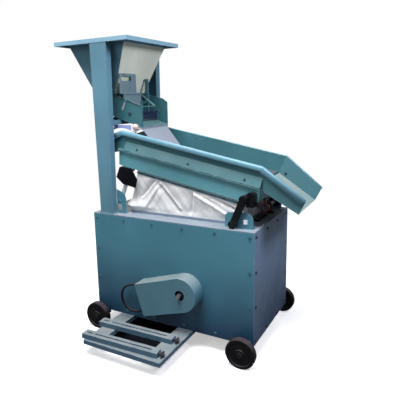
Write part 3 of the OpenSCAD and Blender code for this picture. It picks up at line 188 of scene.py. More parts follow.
def soft_light(name, place, aim, size, watts, colour):
    """A square area light of that size that looks from place to aim."""
    data = bpy.data.lights.new(name, "AREA")
    data.shape, data.size, data.energy, data.color = "SQUARE", size, watts, linear(colour)[:3]
    light = bpy.data.objects.new(name, data)
    light.location = place
    light.rotation_euler = (Vector(aim) - Vector(place)).to_track_quat("-Z", "Y").to_euler()
    bpy.context.scene.collection.objects.link(light)


for lamp, (place, aim, size, watts, colour) in LAMPS.items():
    soft_light(lamp, place, aim, size, watts, colour)
print("lamps", len(LAMPS))

# %% Room
# the room lights the machine only a little, but the camera sees it as bright as paper
ROOM, BACKDROP = 0.26, 1.0
world = bpy.data.worlds.new("room")
world.use_nodes = True
background = world.node_tree.nodes["Background"]
background.inputs["Color"].default_value = linear(PALE)
camera_ray = add(world.node_tree, "ShaderNodeLightPath", out="Is Camera Ray")
strength = add(world.node_tree, RANGE, {"Value": camera_ray, "To Min": ROOM, "To Max": BACKDROP})
world.node_tree.links.new(strength, background.inputs["Strength"])
bpy.context.scene.world = world
bpy.context.scene.view_settings.view_transform = "Standard"
print("room light", ROOM, "of", BACKDROP)

# %% [markdown]
# ## How a finish is built
# A real surface is never of one colour. Each finish starts from its base colour, and
# thinner layers are laid over it, each where a mask says: cloudy patches of a real size,
# sharp edges, or what faces up. The same masks make it duller here and there, and a fine
# pattern gives it its relief.

# %% Masks and layers


def start(name):
    """An empty material, its tree, and the Object coordinates that all its patterns read."""
    material = bpy.data.materials.new(name)
    material.use_nodes = True
    tree = material.node_tree
    tree.nodes.clear()
    return material, tree, add(tree, "ShaderNodeTexCoord", out="Object")


def blobs(size_mm):
    """Scale of a noise whose blobs are about size_mm across: two blobs to a unit, 1000 mm to the metre."""
    return 1000 / size_mm / 2


def patches(tree, coords, size_mm, detail, fade, amount=(0.0, 1.0)):
    """A mask of cloudy patches: where the noise goes from fade[0] to fade[1], it goes through amount."""
    cloud = add(tree, NOISE, {"Vector": coords, "Scale": blobs(size_mm), "Detail": detail})
    return add(tree, RANGE, {0: cloud, 1: fade[0], 2: fade[1], 3: amount[0], 4: amount[1]})


def edges(tree, radius_mm):
    """About 1 within radius_mm of a sharp edge and 0 on a flat.

    It is how far the normal leans when the edge is rounded: 0 where the two normals' product is 0.99, and
    1 where it is 0.85.
    """
    rounded = add(tree, "ShaderNodeBevel", {"samples": 4, "Radius": radius_mm / 1000})
    true = add(tree, "ShaderNodeNewGeometry", out="Normal")
    likeness = add(tree, "ShaderNodeVectorMath", {"operation": "DOT_PRODUCT", 0: rounded, 1: true}, "Value")
    return add(tree, RANGE, {0: likeness, 1: 0.99, 2: 0.85})


def facing_up(tree, least, amount):
    """From 0 where the surface's upward part is least, to amount on a level top."""
    normal = add(tree, "ShaderNodeNewGeometry", out="Normal")
    return add(tree, RANGE, {0: add(tree, AXES, {0: normal}, "Z"), 1: least, 2: 1.0, 3: 0.0, 4: amount})


def layered(tree, base, *layers):
    """The base colour with layers over it: each is a share from 0 to 1 and a colour, mixed in one by one."""
    for share, over in layers:
        base = add(tree, MIX, {"data_type": "RGBA", 0: share, 6: base, 7: over}, 2)
    return base


def finish(tree, colour, roughness, relief, relief_mm, fixed):
    """The surface: its colour, roughness, a relief that is relief_mm deep, and fixed values of its own."""
    bump = add(tree, "ShaderNodeBump", {"Strength": 1.0, "Distance": relief_mm / 1000, "Height": relief})
    surface = add(tree, SHADER, {"Base Color": colour, "Roughness": roughness, "Normal": bump, **fixed})
    add(tree, "ShaderNodeOutputMaterial", {"Surface": surface})


print("a blob of 5 mm has noise scale", blobs(5))

# %% [markdown]
# ## Sprayed machine paint
# The sheet metal is sprayed with one coat of alkyd enamel, a grey teal. A sprayed coat
# has a faint orange peel, about 5 mm across. It fades in broad clouds, dust lies on what
# faces up and, laid on thicker, also paints the light on tops, and faint streaks run down
# where rain or washing went. Towards the floor it turns dark navy in blotches, a painted
# shade, and the corners are worn through to a pale primer that also paints highlights along the edges.

# %% Sprayed enamel
# dust, which also paints light on tops; dark navy, which paints the shade near the floor; and a pale primer
# at worn edges, which also paints their highlight
DUST, LOW_SHADE, PRIMER_AND_EDGE_HIGHLIGHT = linear("#a9a79c"), linear("#08294a"), linear("#a7b7c1")
BLACKENED = linear("#05060c")
# how much the faded and the deep tone of a paint differ from it
FADED_GAIN, FADED_LIFT, DEEP_GAIN = 1.20, 0.004, 0.84
# height in metres at which the painted shade near the floor begins, and where it is full
LOW_SHADE_FROM, LOW_SHADE_FULL = 0.64, 0.12
# sizes of the patterns in millimetres, from the broadest to the finest
CLOUD, BLOT, DUSTING, DULLED, STREAK, RUBBED, SPOT, PEEL = 420, 160, 70, 55, 30, 26, 14, 5
WORN_AND_HIGHLIT_EDGE, PEEL_DEPTH = 3.5, 0.06
# a small scale in z draws a pattern out downwards
LONG_STREAK = (1.0, 1.0, 0.08)
# how far patches make the paint smoother and rougher, and how much dust adds
SMOOTHER, ROUGHER, DUST_ADDS = 0.07, 0.10, 0.4


def paint_tones(hex_colour):
    """A paint's two tones, for each colour c: faded = FADED_GAIN * c + FADED_LIFT, deep = DEEP_GAIN * c."""
    paint = linear(hex_colour)[:3]
    faded = [min(1.0, FADED_GAIN * c + FADED_LIFT) for c in paint]
    deep = [DEEP_GAIN * c for c in paint]
    return (*faded, 1.0), (*deep, 1.0)


def blackened_pins(tree, xyz, beyond):
    """1 where a point lies more than beyond from the casing's middle plane, whose y is -MID_Y, else 0."""
    across = add(tree, MATH, {"operation": "SUBTRACT", 0: add(tree, AXES, {0: xyz}, "Y"), 1: -MID_Y / 1000})
    aside = add(tree, MATH, {"operation": "ABSOLUTE", 0: across})
    return add(tree, MATH, {"operation": "GREATER_THAN", 0: aside, 1: beyond})


def sprayed_enamel(name, hex_colour, dust=0.22, low_shade=0.35, wear=0.6, roughness=0.42, shine=0.5, pins=None):
    """One coat of enamel: its own faded clouds, streaks and spots, then a painted shade near the floor, dust
    that also paints light on tops, and bare corners whose primer also paints edge highlights.

    pins, where given, is how far from the casing's middle plane the part is blackened.
    """
    material, tree, xyz = start(name)
    faded, deep = paint_tones(hex_colour)
    cloud = patches(tree, xyz, CLOUD, 4.0, fade=(0.35, 0.65))
    downward = add(tree, MAPPING, {"Vector": xyz, "Scale": LONG_STREAK})
    streak = patches(tree, downward, STREAK, 2.0, fade=(0.52, 0.75), amount=(0.0, 0.25))
    spot = patches(tree, xyz, SPOT, 2.0, fade=(0.68, 0.74), amount=(0.0, 0.35))
    height = add(tree, AXES, {0: xyz}, "Z")
    # painted shade: towards the floor the paint turns dark navy, in blotches
    low = add(tree, RANGE, {0: height, 1: LOW_SHADE_FROM, 2: LOW_SHADE_FULL, 3: 0.0, 4: low_shade})
    blot = patches(tree, xyz, BLOT, 5.0, fade=(0.15, 0.60), amount=(0.75, 1.0))
    darker_foot = add(tree, MATH, {"operation": "MULTIPLY", 0: low, 1: blot})
    # dust on what faces up; where there is more of it, it also paints the light on tops
    dusting = patches(tree, xyz, DUSTING, 5.0, fade=(0.25, 0.75), amount=(0.5, 1.0))
    lying = add(tree, MATH, {"operation": "MULTIPLY", 0: facing_up(tree, 0.3, dust), 1: dusting})
    # pale primer at worn corners, which also paints a highlight along the edges
    bare = patches(tree, xyz, RUBBED, 6.0, fade=(0.44, 0.56), amount=(0.0, wear))
    rubbed = add(tree, MATH, {"operation": "MULTIPLY", 0: edges(tree, WORN_AND_HIGHLIT_EDGE), 1: bare})
    colour = layered(tree, deep, (cloud, faded), (streak, deep), (spot, faded),
                     (darker_foot, LOW_SHADE), (lying, DUST), (rubbed, PRIMER_AND_EDGE_HIGHLIGHT))
    if pins:
        colour = layered(tree, colour, (blackened_pins(tree, xyz, pins), BLACKENED))
    from_to = (roughness - SMOOTHER, roughness + ROUGHER)
    dull = patches(tree, xyz, DULLED, 3.0, fade=(0.3, 0.7), amount=from_to)
    dusty = add(tree, MATH, {"operation": "MULTIPLY", 0: lying, 1: DUST_ADDS})
    rough = add(tree, MATH, {"operation": "ADD", 0: dull, 1: dusty})
    peel = add(tree, NOISE, {"Vector": xyz, "Scale": blobs(PEEL), "Detail": 1.0})
    finish(tree, colour, rough, peel, relief_mm=PEEL_DEPTH, fixed={"Specular IOR Level": shine})
    return material


print("enamel with an orange peel of", PEEL, "mm")

# %% Painted bolt heads
# the white of the nuts high on the brackets is also a painted glint
BLACK_HEAD, WHITE_NUT_AND_GLINT = linear("#12141a"), linear("#e9edf6")
# beyond the machine, so no bolt is black or white
NOWHERE = 9.0
# in millimetres: the rub of a spanner, how far in from the edge it reaches, and the coat's waves
SPANNER_RUB, SPANNER_EDGE, COAT_WAVES = 9, 1.5, 5


def painted_bolts(name, hex_colour, black_from, white_above, wear=0.6):
    """Bolt heads sprayed over with the panel, whose edges spanners have rubbed down to the primer.

    Where x is past black_from they are black, and where z is past white_above they are white nuts, whose
    white is also a painted glint.
    """
    material, tree, xyz = start(name)
    along, height = add(tree, AXES, {0: xyz}, "X"), add(tree, AXES, {0: xyz}, "Z")
    black = add(tree, MATH, {"operation": "GREATER_THAN", 0: along, 1: black_from})
    white = add(tree, MATH, {"operation": "GREATER_THAN", 0: height, 1: white_above})
    bare = patches(tree, xyz, SPANNER_RUB, 4.0, fade=(0.45, 0.60), amount=(0.0, wear))
    rubbed = add(tree, MATH, {"operation": "MULTIPLY", 0: edges(tree, SPANNER_EDGE), 1: bare})
    colour = layered(tree, linear(hex_colour), (black, BLACK_HEAD), (white, WHITE_NUT_AND_GLINT), (rubbed, PRIMER_AND_EDGE_HIGHLIGHT))
    uneven = add(tree, NOISE, {"Vector": xyz, "Scale": blobs(COAT_WAVES), "Detail": 2.0})
    finish(tree, colour, 0.38, uneven, relief_mm=0.08, fixed={"IOR": 1.5})
    return material


bolt_paint = painted_bolts("painted_bolt_heads", "#34606e", 0.64, 0.885)
dark_bolts = painted_bolts("dark_bolt_heads", "#0d181c", NOWHERE, NOWHERE, wear=0.1)
print("bolt paints", bolt_paint.name, dark_bolts.name)

# %% [markdown]
# ## The paints of this machine
# It is one teal all over, but the photograph shows it lighter or darker from part to
# part, as batches, light and dust differ. So each part has its own tone, and some tones
# are lit and shaded copies of the teal: painted light and shade. Each part also has its
# own amounts of dust, which also paints light on tops, of painted shade near the floor,
# and of wear at the edges, whose primer also paints highlights.

# %% Paints
teal_paint = sprayed_enamel("sprayed_teal_enamel", "#42798b", low_shade=0.92)
bracket_paint = sprayed_enamel("bracket_enamel", "#42798b", pins=0.3035)
deck_paint = sprayed_enamel("sprayed_deck_enamel", "#396b74", low_shade=0.0, roughness=0.34)
# the web's lighter tone is painted light: the same teal, lit brighter
lit_web_paint = sprayed_enamel("web_enamel_with_painted_light", "#5c98a4", low_shade=0.0)
# the chute gets more dust and wear, which also paint light on its floor and highlights on its edges
chute_paint = sprayed_enamel("worn_chute_enamel", "#467580", dust=0.6, low_shade=0.0, wear=0.9)
# a lighter teal for the rolled rims: a painted highlight along their tops
highlit_rolled_paint = sprayed_enamel("rolled_rim_enamel_with_painted_highlight", "#6698ab", dust=0.15, low_shade=0.0, roughness=0.30)
# a lighter teal for the hopper's rim: painted light on its lit top and lip
highlit_rim_paint = sprayed_enamel("rim_enamel_with_painted_highlight", "#7ea6bb", low_shade=0.0, wear=0.9)
hopper_paint = sprayed_enamel("sprayed_hopper_enamel", "#557f92", low_shade=0.0)
# a paler lilac-grey for the top plate and its clamp strip: dust, and painted light on a top
pale_top_paint = sprayed_enamel("top_enamel_with_dust_and_painted_light", "#6f8094", dust=0.35, low_shade=0.0)
# the rails and the guard get more dust, which also paints the light on their tops
rail_paint = sprayed_enamel("worn_rail_enamel", "#54788b", dust=0.55, low_shade=0.55, wear=0.9)
guard_paint = sprayed_enamel("guard_enamel", "#4c7484", dust=0.55, low_shade=0.15)
side_paint = sprayed_enamel("shaded_side_enamel", "#667c98", dust=0.08, low_shade=0.85)
dark_paint = sprayed_enamel("dark_teal_enamel", "#234a56")
# the hopper's right wall is cream, partly its own colour and partly painted light on that face
cream_and_lit_paint = sprayed_enamel("cream_enamel_with_painted_light", "#d9dfcf", dust=0.10, low_shade=0.0, wear=0.3)
white_paint = sprayed_enamel("white_enamel", "#919fd8", dust=0.10, low_shade=0.0, roughness=0.30)
black_paint = sprayed_enamel("black_enamel", "#04050a", dust=0.03, low_shade=0.0, wear=0.12, roughness=0.26,
                             shine=0.25)
# the baffle's dark blue is painted shade: it sits in the shade inside the trough
shaded_baffle_blue = sprayed_enamel("dark_blue_enamel", "#232a4a", dust=0.05, low_shade=0.0, roughness=0.3)
red_paint = sprayed_enamel("red_enamel", "#b8404e", dust=0.05, low_shade=0.0, wear=0.8, roughness=0.35)
print("paints", sum("enamel" in material.name for material in bpy.data.materials))

# %% [markdown]
# ## Bare metal
# Galvanised sheet shows spangle, the frost-like crystals of zinc, here 9 mm across.
# Turned and rolled steel is greyer, with fine lines and a breath of rust.

# %% Galvanised sheet
# zinc crystals to the metre, about 9 mm each; stains and dents in millimetres
SPANGLES, ZINC_STAIN, DENT = 110.0, 60, 8


def galvanised(name, hex_colour="#c3c9d2"):
    """Zinc crystals in several greys; they are faint, because the sheet is weathered and stained."""
    material, tree, xyz = start(name)
    cells = add(tree, "ShaderNodeTexVoronoi", {"Vector": xyz, "Scale": SPANGLES}, "Color")
    grey = add(tree, AXES, {0: cells}, "X")
    crystal = add(tree, RANGE, {0: grey, 1: 0.0, 2: 1.0, 3: 0.0, 4: 0.22})
    stain = patches(tree, xyz, ZINC_STAIN, 4.0, fade=(0.55, 0.72), amount=(0.0, 0.4))
    colour = layered(tree, linear(hex_colour), (crystal, linear("#8f979f")), (stain, linear("#6f7479")))
    rough = add(tree, RANGE, {0: grey, 1: 0.0, 2: 1.0, 3: 0.42, 4: 0.55})
    dented = add(tree, NOISE, {"Vector": xyz, "Scale": blobs(DENT), "Detail": 2.0})
    finish(tree, colour, rough, dented, relief_mm=0.03, fixed={"Metallic": 0.35})
    return material


zinc = galvanised("galvanised_sheet")
gate_zinc = galvanised("weathered_gate_sheet", "#7d9ba8")
# a darker zinc for the feed apron: painted shade, as it lies in the shade
shaded_apron_zinc = galvanised("apron_sheet_with_painted_shade", "#99a2b2")
print("zinc with a spangle of", round(1000 / SPANGLES), "mm")

# %% Steel
# fine lines and patches of rust in millimetres; a small scale in y draws the lines out along it
STEEL_LINES, RUST = 3, 40
ALONG_Y = (1.0, 0.05, 1.0)


def rolled_steel(name, hex_colour, rust=0.35):
    """Steel with fine lines along y, lighter and smoother between them, and a brown bloom in patches."""
    material, tree, xyz = start(name)
    drawn = add(tree, MAPPING, {"Vector": xyz, "Scale": ALONG_Y})
    lines = add(tree, NOISE, {"Vector": drawn, "Scale": blobs(STEEL_LINES), "Detail": 2.0})
    shade = add(tree, RANGE, {0: lines, 1: 0.3, 2: 0.7})
    brown = patches(tree, xyz, RUST, 6.0, fade=(0.52, 0.70), amount=(0.0, rust))
    colour = layered(tree, linear(hex_colour), (shade, linear("#5d6266")), (brown, linear("#6b4630")))
    rough = add(tree, RANGE, {0: lines, 1: 0.3, 2: 0.7, 3: 0.28, 4: 0.48})
    finish(tree, colour, rough, lines, relief_mm=0.02, fixed={"Metallic": 0.9})
    return material


steel = rolled_steel("rolled_steel", "#8f959b")
dark_screws = rolled_steel("dark_screws", "#4b4750")
bright = rolled_steel("turned_steel", "#c4c9cf", rust=0.08)
print("steels", steel.name, dark_screws.name, bright.name)

# %% [markdown]
# ## Rubber, canvas, wire, felt and plastic
# The solid tyres are black rubber with dust on what faces up. The V-belts have a cloth
# cover, so they are as dull. The sleeve is unbleached cotton duck: its real threads,
# 0.8 mm apart, wouldn't show, so they are drawn 4 mm apart. The screen's wires are drawn
# 14 mm apart for the same reason.

# %% Rubber
# worn patches, dust and grain in millimetres
WORN_PATCH, TYRE_DUST, RUBBER_GRAIN = 45, 30, 4


def rubber(name, hex_colour, dusty):
    """Black rubber: grey patches of wear, and dust that lies in patches on what faces up."""
    material, tree, xyz = start(name)
    patch = patches(tree, xyz, WORN_PATCH, 5.0, fade=(0.40, 0.75), amount=(0.0, dusty))
    dusting = patches(tree, xyz, TYRE_DUST, 5.0, fade=(0.2, 0.7), amount=(0.4, 1.0))
    lying = add(tree, MATH, {"operation": "MULTIPLY", 0: facing_up(tree, 0.2, 0.45), 1: dusting})
    colour = layered(tree, linear(hex_colour), (patch, linear("#5f5e5b")), (lying, linear("#6b5f69")))
    rough = add(tree, RANGE, {0: patch, 1: 0.0, 2: 1.0, 3: 0.55, 4: 0.9})
    grain = add(tree, NOISE, {"Vector": xyz, "Scale": blobs(RUBBER_GRAIN), "Detail": 3.0})
    finish(tree, colour, rough, grain, relief_mm=0.15, fixed={"Specular IOR Level": 0.2})
    return material


tyre = rubber("solid_tyre_rubber", "#040306", 0.05)
belt = rubber("cloth_covered_belt", "#090b12", 0.08)
print("rubbers", tyre.name, belt.name)

# %% Canvas and wire
# in millimetres: thread and wire spacing, and the cloth's stains, smears and creases
CANVAS_PITCH, WIRE_PITCH = 4.0, 14.0
CLOTH_STAIN, SMEAR, CREASE = 120, 50, 34
# how much the threads raise the cloth beside its creases
THREAD_SHARE = 0.15
# height in metres at which the cloth's soiled foot begins, and where it is full
SOILED_FROM, SOILED_FULL = 0.94, 0.88


def weave(tree, coords, pitch_mm):
    """Plain weave: the larger of two crossed waves of rounded threads.

    A wave of scale 1 has pi / 10 m from crest to crest, so the scale is 100 * pi / pitch in millimetres.
    """
    threads = [add(tree, "ShaderNodeTexWave", {"bands_direction": axis, "Vector": coords, "Detail": 1.0,
                                               "Scale": 100 * math.pi / pitch_mm, "Distortion": 0.6}, 1)
               for axis in ("X", "Z")]
    return add(tree, MATH, {"operation": "MAXIMUM", 0: threads[0], 1: threads[1]})


def cotton_duck(name, hex_colour):
    """Matt cloth: a faint weave, stains, painted shade in the folds' valleys, and a dirtier foot."""
    material, tree, xyz = start(name)
    cloth = weave(tree, xyz, CANVAS_PITCH)
    gaps = add(tree, RANGE, {0: cloth, 1: 0.0, 2: 1.0, 3: 0.07, 4: 0.0})
    stain = patches(tree, xyz, CLOTH_STAIN, 5.0, fade=(0.55, 0.80), amount=(0.0, 0.20))
    # the sheet's own attribute says how deep in a fold each point lies; the deeper, the more painted shade
    depth = add(tree, "ShaderNodeAttribute", {"attribute_name": "valley"}, "Fac")
    valley = add(tree, RANGE, {0: depth, 1: 0.30, 2: 1.0, 3: 0.0, 4: 0.45})
    height = add(tree, AXES, {0: xyz}, "Z")
    foot = add(tree, RANGE, {0: height, 1: SOILED_FROM, 2: SOILED_FULL, 3: 0.0, 4: 0.35})
    smear = patches(tree, xyz, SMEAR, 5.0, fade=(0.3, 0.7))
    darker_foot = add(tree, MATH, {"operation": "MULTIPLY", 0: foot, 1: smear})
    colour = layered(tree, linear(hex_colour), (gaps, linear("#9a9ba6")), (stain, linear("#a8a39a")),
                     (valley, linear("#7b818d")), (darker_foot, linear("#7f8288")))
    threads = add(tree, MATH, {"operation": "MULTIPLY", 0: cloth, 1: THREAD_SHARE})
    creases = add(tree, NOISE, {"Vector": xyz, "Scale": blobs(CREASE), "Detail": 2.0})
    relief = add(tree, MATH, {"operation": "ADD", 0: threads, 1: creases})
    finish(tree, colour, 0.92, relief, relief_mm=0.3,
           fixed={"Sheen Weight": 0.05, "IOR": 1.45, "Specular IOR Level": 0.2})
    return material


def wire_cloth(name):
    """Woven wire: bright wires and dark holes, whose dark is painted shade seen through the mesh. The screen
    lies flat, so the weave is tipped over.
    """
    material, tree, xyz = start(name)
    tipped = add(tree, MAPPING, {"Vector": xyz, "Rotation": (math.radians(90), 0, 0)})
    cloth = weave(tree, tipped, WIRE_PITCH)
    wires = add(tree, RANGE, {0: cloth, 1: 0.35, 2: 0.75})
    colour = layered(tree, linear("#202429"), (wires, linear("#868e96")))
    finish(tree, colour, 0.45, cloth, relief_mm=0.6, fixed={"Metallic": 0.6})
    return material


canvas_cloth = cotton_duck("cotton_duck", "#e0e1e3")
screen_wire = wire_cloth("woven_wire")
print("threads", CANVAS_PITCH, "mm apart, wires", WIRE_PITCH, "mm apart")

# %% Felt and plastic
# in millimetres: the felt's hairs, the marks of hands and the plastic's ripple
FUZZ, HAND_MARK, KNOB_RIPPLE = 3, 20, 6


def felt_strip(name):
    """Pressed wool: dark, without any shine, and fuzzy."""
    material, tree, xyz = start(name)
    fuzz = add(tree, NOISE, {"Vector": xyz, "Scale": blobs(FUZZ), "Detail": 5.0})
    colour = layered(tree, linear("#1c2c33"), (fuzz, linear("#3d5058")))
    finish(tree, colour, 0.95, fuzz, relief_mm=0.4, fixed={"Sheen Weight": 0.2})
    return material


def moulded_plastic(name, hex_colour):
    """A glossy moulded knob, gone darker where hands touch it."""
    material, tree, xyz = start(name)
    handled = patches(tree, xyz, HAND_MARK, 3.0, fade=(0.3, 0.7), amount=(0.0, 0.3))
    colour = layered(tree, linear(hex_colour), (handled, linear("#b89088")))
    ripple = add(tree, NOISE, {"Vector": xyz, "Scale": blobs(KNOB_RIPPLE), "Detail": 2.0})
    finish(tree, colour, 0.32, ripple, relief_mm=0.03, fixed={"IOR": 1.46, "Coat Weight": 0.2})
    return material


felt = felt_strip("grey_felt")
knob_plastic = moulded_plastic("moulded_knob", "#d9bdb5")
print("materials", len(bpy.data.materials))

# %% [markdown]
# ## Dressing the construction parts
# Each part of the construction model takes the finish of the real part; some of these finishes also carry
# painted light and shade.

# %% Finishes by part
FINISH = {
    teal_paint: "front_panel rear_panel left_panel",
    bracket_paint: "arm_brackets",
    deck_paint: "deck_sides stone_spout feeder_pan gate_guides",
    lit_web_paint: "plenum_frame",
    chute_paint: "grain_chute",
    highlit_rim_paint: "hopper_rim",
    hopper_paint: "post_front post_rear feeder_beams hopper_shell",
    bolt_paint: "panel_bolts",
    dark_bolts: "deck_bolts",
    pale_top_paint: "top_plate clamp_lower",
    side_paint: "right_panel",
    guard_paint: "belt_guard",
    rail_paint: "rail_frame slide_rails",
    dark_paint: "base_frame floor_panel fan_impeller bearing_beams air_inlet clamp_upper",
    cream_and_lit_paint: "hopper_right_wall",
    white_paint: "bow_strip",
    black_paint: "rocker_front_right rocker_rear_right arm_hangers crank_pulley fan_small_pulley "
                 "fan_bearings crank_bearings axles",
    zinc: "latch_lever rocker_front_left rocker_rear_left",
    dark_screws: "rail_screws",
    shaded_apron_zinc: "feed_apron",
    steel: "fan_pulley",
    gate_zinc: "slide_gate",
    shaded_baffle_blue: "baffle",
    bright: "fan_shaft eccentric_shaft",
    screen_wire: "deck_screen",
    belt: "v_belt drive_belt",
    tyre: "wheel_front_left wheel_front_right wheel_rear_left wheel_rear_right",
    red_paint: "connecting_rod",
    canvas_cloth: "canvas_sleeve",
    felt: "joint_felt",
    knob_plastic: "lock_knob",
}
dressed = set()
for material, names in FINISH.items():
    for name in names.split():
        NODES[name].data.materials.clear()
        NODES[name].data.materials.append(material)
        dressed.add(name)
print("left undressed:", sorted(set(NODES) - dressed))

# %% [markdown]
# ## The canvas sleeve
# The real sleeve is one strip of cotton duck sewn into a ring. It is clamped flat round
# the casing's collar and round the shaken deck, and in between it hangs slack, in a few
# large slanting folds. It could be simulated, but its folds are known from the
# photograph, so the ring is worked out as a function of two numbers: s goes round it,
# v goes up it. Each fold is a line on the long side: the cloth rises to a ridge on one
# side of the line and sinks to a valley on the other.

# %% Canvas: its outline
CASING_TOP = 877.0
# left end, right end and half width of the boxes that the cloth is clamped round
LOW_BOX, LOW_HALF = (-366.0, 508.0), 238.0
TOP_BOX, TOP_HALF = (-300.0, 522.0), 253.3
CORNER = 14.0
# where the deck's top bends down to the chute, its slope, and how far under it the cloth ends
KINK, DECK_SLOPE, CLOTH_DOWN = (648.0, 1276.0), math.radians(11.2), 262.0


def deck_underside(x):
    """Height of the cloth's top edge above x: the line CLOTH_DOWN under the deck's top, along its slope."""
    s, c = math.sin(DECK_SLOPE), math.cos(DECK_SLOPE)
    along = (x - KINK[0] + CLOTH_DOWN * s) / c
    return KINK[1] - along * s - CLOTH_DOWN * c


def outline(s, x0, x1, half_y):
    """Point and outward direction at share s of the way round a rectangle, from its near left corner.

    The corners are pulled in along a quarter circle: inner point + CORNER * direction from it.
    """
    side = np.floor(s * 4).astype(int) % 4
    f = s * 4 - np.floor(s * 4)
    ax, ay = np.array([x0, x1, x1, x0])[side], np.array([-half_y, -half_y, half_y, half_y])[side]
    bx, by = np.array([x1, x1, x0, x0])[side], np.array([-half_y, half_y, half_y, -half_y])[side]
    x, y = ax + (bx - ax) * f, ay + (by - ay) * f
    inner_x = np.clip(x, x0 + CORNER, x1 - CORNER)
    inner_y = np.clip(y, -half_y + CORNER, half_y - CORNER)
    ox, oy = x - inner_x, y - inner_y
    length = np.maximum(np.hypot(ox, oy), 1e-6)
    ox, oy = ox / length, oy / length
    return inner_x + ox * CORNER, inner_y + oy * CORNER, ox, oy


ends = [round(deck_underside(x) - CASING_TOP) for x in TOP_BOX]
print("the sleeve is", ends[0], "mm high at the left and", ends[1], "at the right")

# %% Canvas: its folds
# each row: start x and height above the casing, end x and height, share of the depth, half width
FOLDS = np.array([
    [-103, 228, 37, 62, 1.0, 62],
    [-103, 228, -238, 40, -0.6, 60],
    [-144, 254, -261, 128, 0.9, 52],
    [158, 192, 131, 15, 1.0, 56],
    [158, 192, 399, 72, -0.6, 60],
    [299, 177, 462, 112, 0.8, 44],
])
FOLD_DEPTH = 24.0
TENT, STEP, CRISP = 0.40, 0.36, 6.0


def fold_depth(x, z):
    """Sum over all folds of their share * (TENT * tent + STEP * step), where positive is inward.

    tent = max(0, 1 - distance / half width). step = u * exp(1/2 - u * u / 2 - e * e / 2), where u is the
    signed distance across the fold over a CRISP part of its half width, and e the distance past its end
    over the same.
    """
    total = np.zeros_like(x)
    for ax, az, bx, bz, share, width in FOLDS:
        dx, dz = bx - ax, bz - az
        length = math.hypot(dx, dz)
        t = np.clip(((x - ax) * dx + (z - az) * dz) / length ** 2, 0, 1)
        gap = np.hypot(x - ax - t * dx, z - az - t * dz)
        across = ((x - ax) * dz - (z - az) * dx) / length
        u = across / (width / CRISP)
        e = np.sqrt(np.maximum(gap ** 2 - across ** 2, 0)) / (width / CRISP)
        tent = np.maximum(0, 1 - gap / width)
        total += share * (TENT * tent + STEP * u * np.exp(0.5 - u * u / 2 - e ** 2 / 2))
    return total


print("folds", len(FOLDS), "up to", FOLD_DEPTH, "mm deep")

# %% Canvas: its points
# rows of points round and up
ROUND, RISE = 560, 72
# in millimetres: the clamped strips, the upright piece at the top, where the cloth begins to hang free
# above the lower strip, and how long it takes to do so at the foot and at the top
STRIP, UPRIGHT_TOP = 20.0, 26.0
FREE_LOW, FREE_LOW_LENGTH, FREE_TOP_LENGTH = 2.0, 34, 30
# short sides: bagged out at the left and drawn in at the right, as shares of the depth, with ripples: a
# share, the radians for the whole way round and the radians for a millimetre up
LEFT_BAG, RIGHT_BAG = -0.45, 0.35
RIPPLE, RIPPLE_ROUND, RIPPLE_UP = 0.3, 61, 0.012
# waves and wrinkles: share of the depth, radians per mm along x, up z and along y, and the start
WAVES = (
    (0.05, 0.041, 0.022, 0.0, 0.0),
    (0.05, 0.017, -0.047, 0.0, 1.3),
    (0.03, 0.11, 0.07, 0.05, 0.0),
    (0.02, 0.19, -0.13, 0.0, 0.7),
)
# the foot flares out at the left end: share, height of its middle, and how far it reaches up and along
FLARE, FLARE_MID, FLARE_UP, FLARE_ALONG = 1.3, 48, 44, 130


def sleeve_slack(s, x, y, z, z1, oy):
    """How far each point moves in: FOLD_DEPTH * free * (folds or bag + waves - flare).

    free is 0 at the clamped strips and eases to 1 as 3 f f - 2 f f f.
    """
    rise = z - CASING_TOP
    free = np.clip((rise - STRIP - FREE_LOW) / FREE_LOW_LENGTH, 0, 1)
    free = free * np.clip((z1 - z - STRIP) / FREE_TOP_LENGTH, 0, 1)
    free = free * free * (3 - 2 * free)
    bag = np.where(x < 0, LEFT_BAG, RIGHT_BAG) + RIPPLE * np.sin(s * RIPPLE_ROUND + rise * RIPPLE_UP)
    long_side = np.abs(oy) > 0.7
    big = np.where(long_side, fold_depth(x, rise), bag)
    waves = sum(share * np.sin(x * kx + rise * kz + y * ky + lag) for share, kx, kz, ky, lag in WAVES)
    flare = FLARE * np.exp(-((rise - FLARE_MID) / FLARE_UP) ** 2 - ((x - LOW_BOX[0]) / FLARE_ALONG) ** 2)
    return free * FOLD_DEPTH * (big + waves - flare)


def sleeve_points():
    """Grid of points, and how deep each lies in a fold, 0 to 1.

    The outline goes from the casing's box to the deck's box with the height above the lower strip, and
    each point moves in by the slack along the outline's own outward direction.
    """
    s, v = np.meshgrid(np.arange(ROUND) / ROUND, np.linspace(0, 1, RISE))
    lx, ly, ox, oy = outline(s, *LOW_BOX, LOW_HALF)
    hx, hy, _, _ = outline(s, *TOP_BOX, TOP_HALF)
    z0, z1 = CASING_TOP + 1, deck_underside(hx)
    z = z0 + (z1 - z0) * v
    w = np.clip((z - z0 - STRIP) / (z1 - z0 - STRIP - UPRIGHT_TOP), 0, 1)
    x, y = lx + (hx - lx) * w, ly + (hy - ly) * w
    slack = sleeve_slack(s, x, y, z, z1, oy)
    return to_frame(np.stack([x - ox * slack, y - oy * slack, z], -1)), np.clip(slack / FOLD_DEPTH, 0, 1)


grid, depth = sleeve_points()
print("canvas grid", grid.shape[:2], "deepest", round(float(depth.max()) * FOLD_DEPTH, 1), "mm")

# %% Canvas: the sheet
CLOTH_THICKNESS = 0.0012


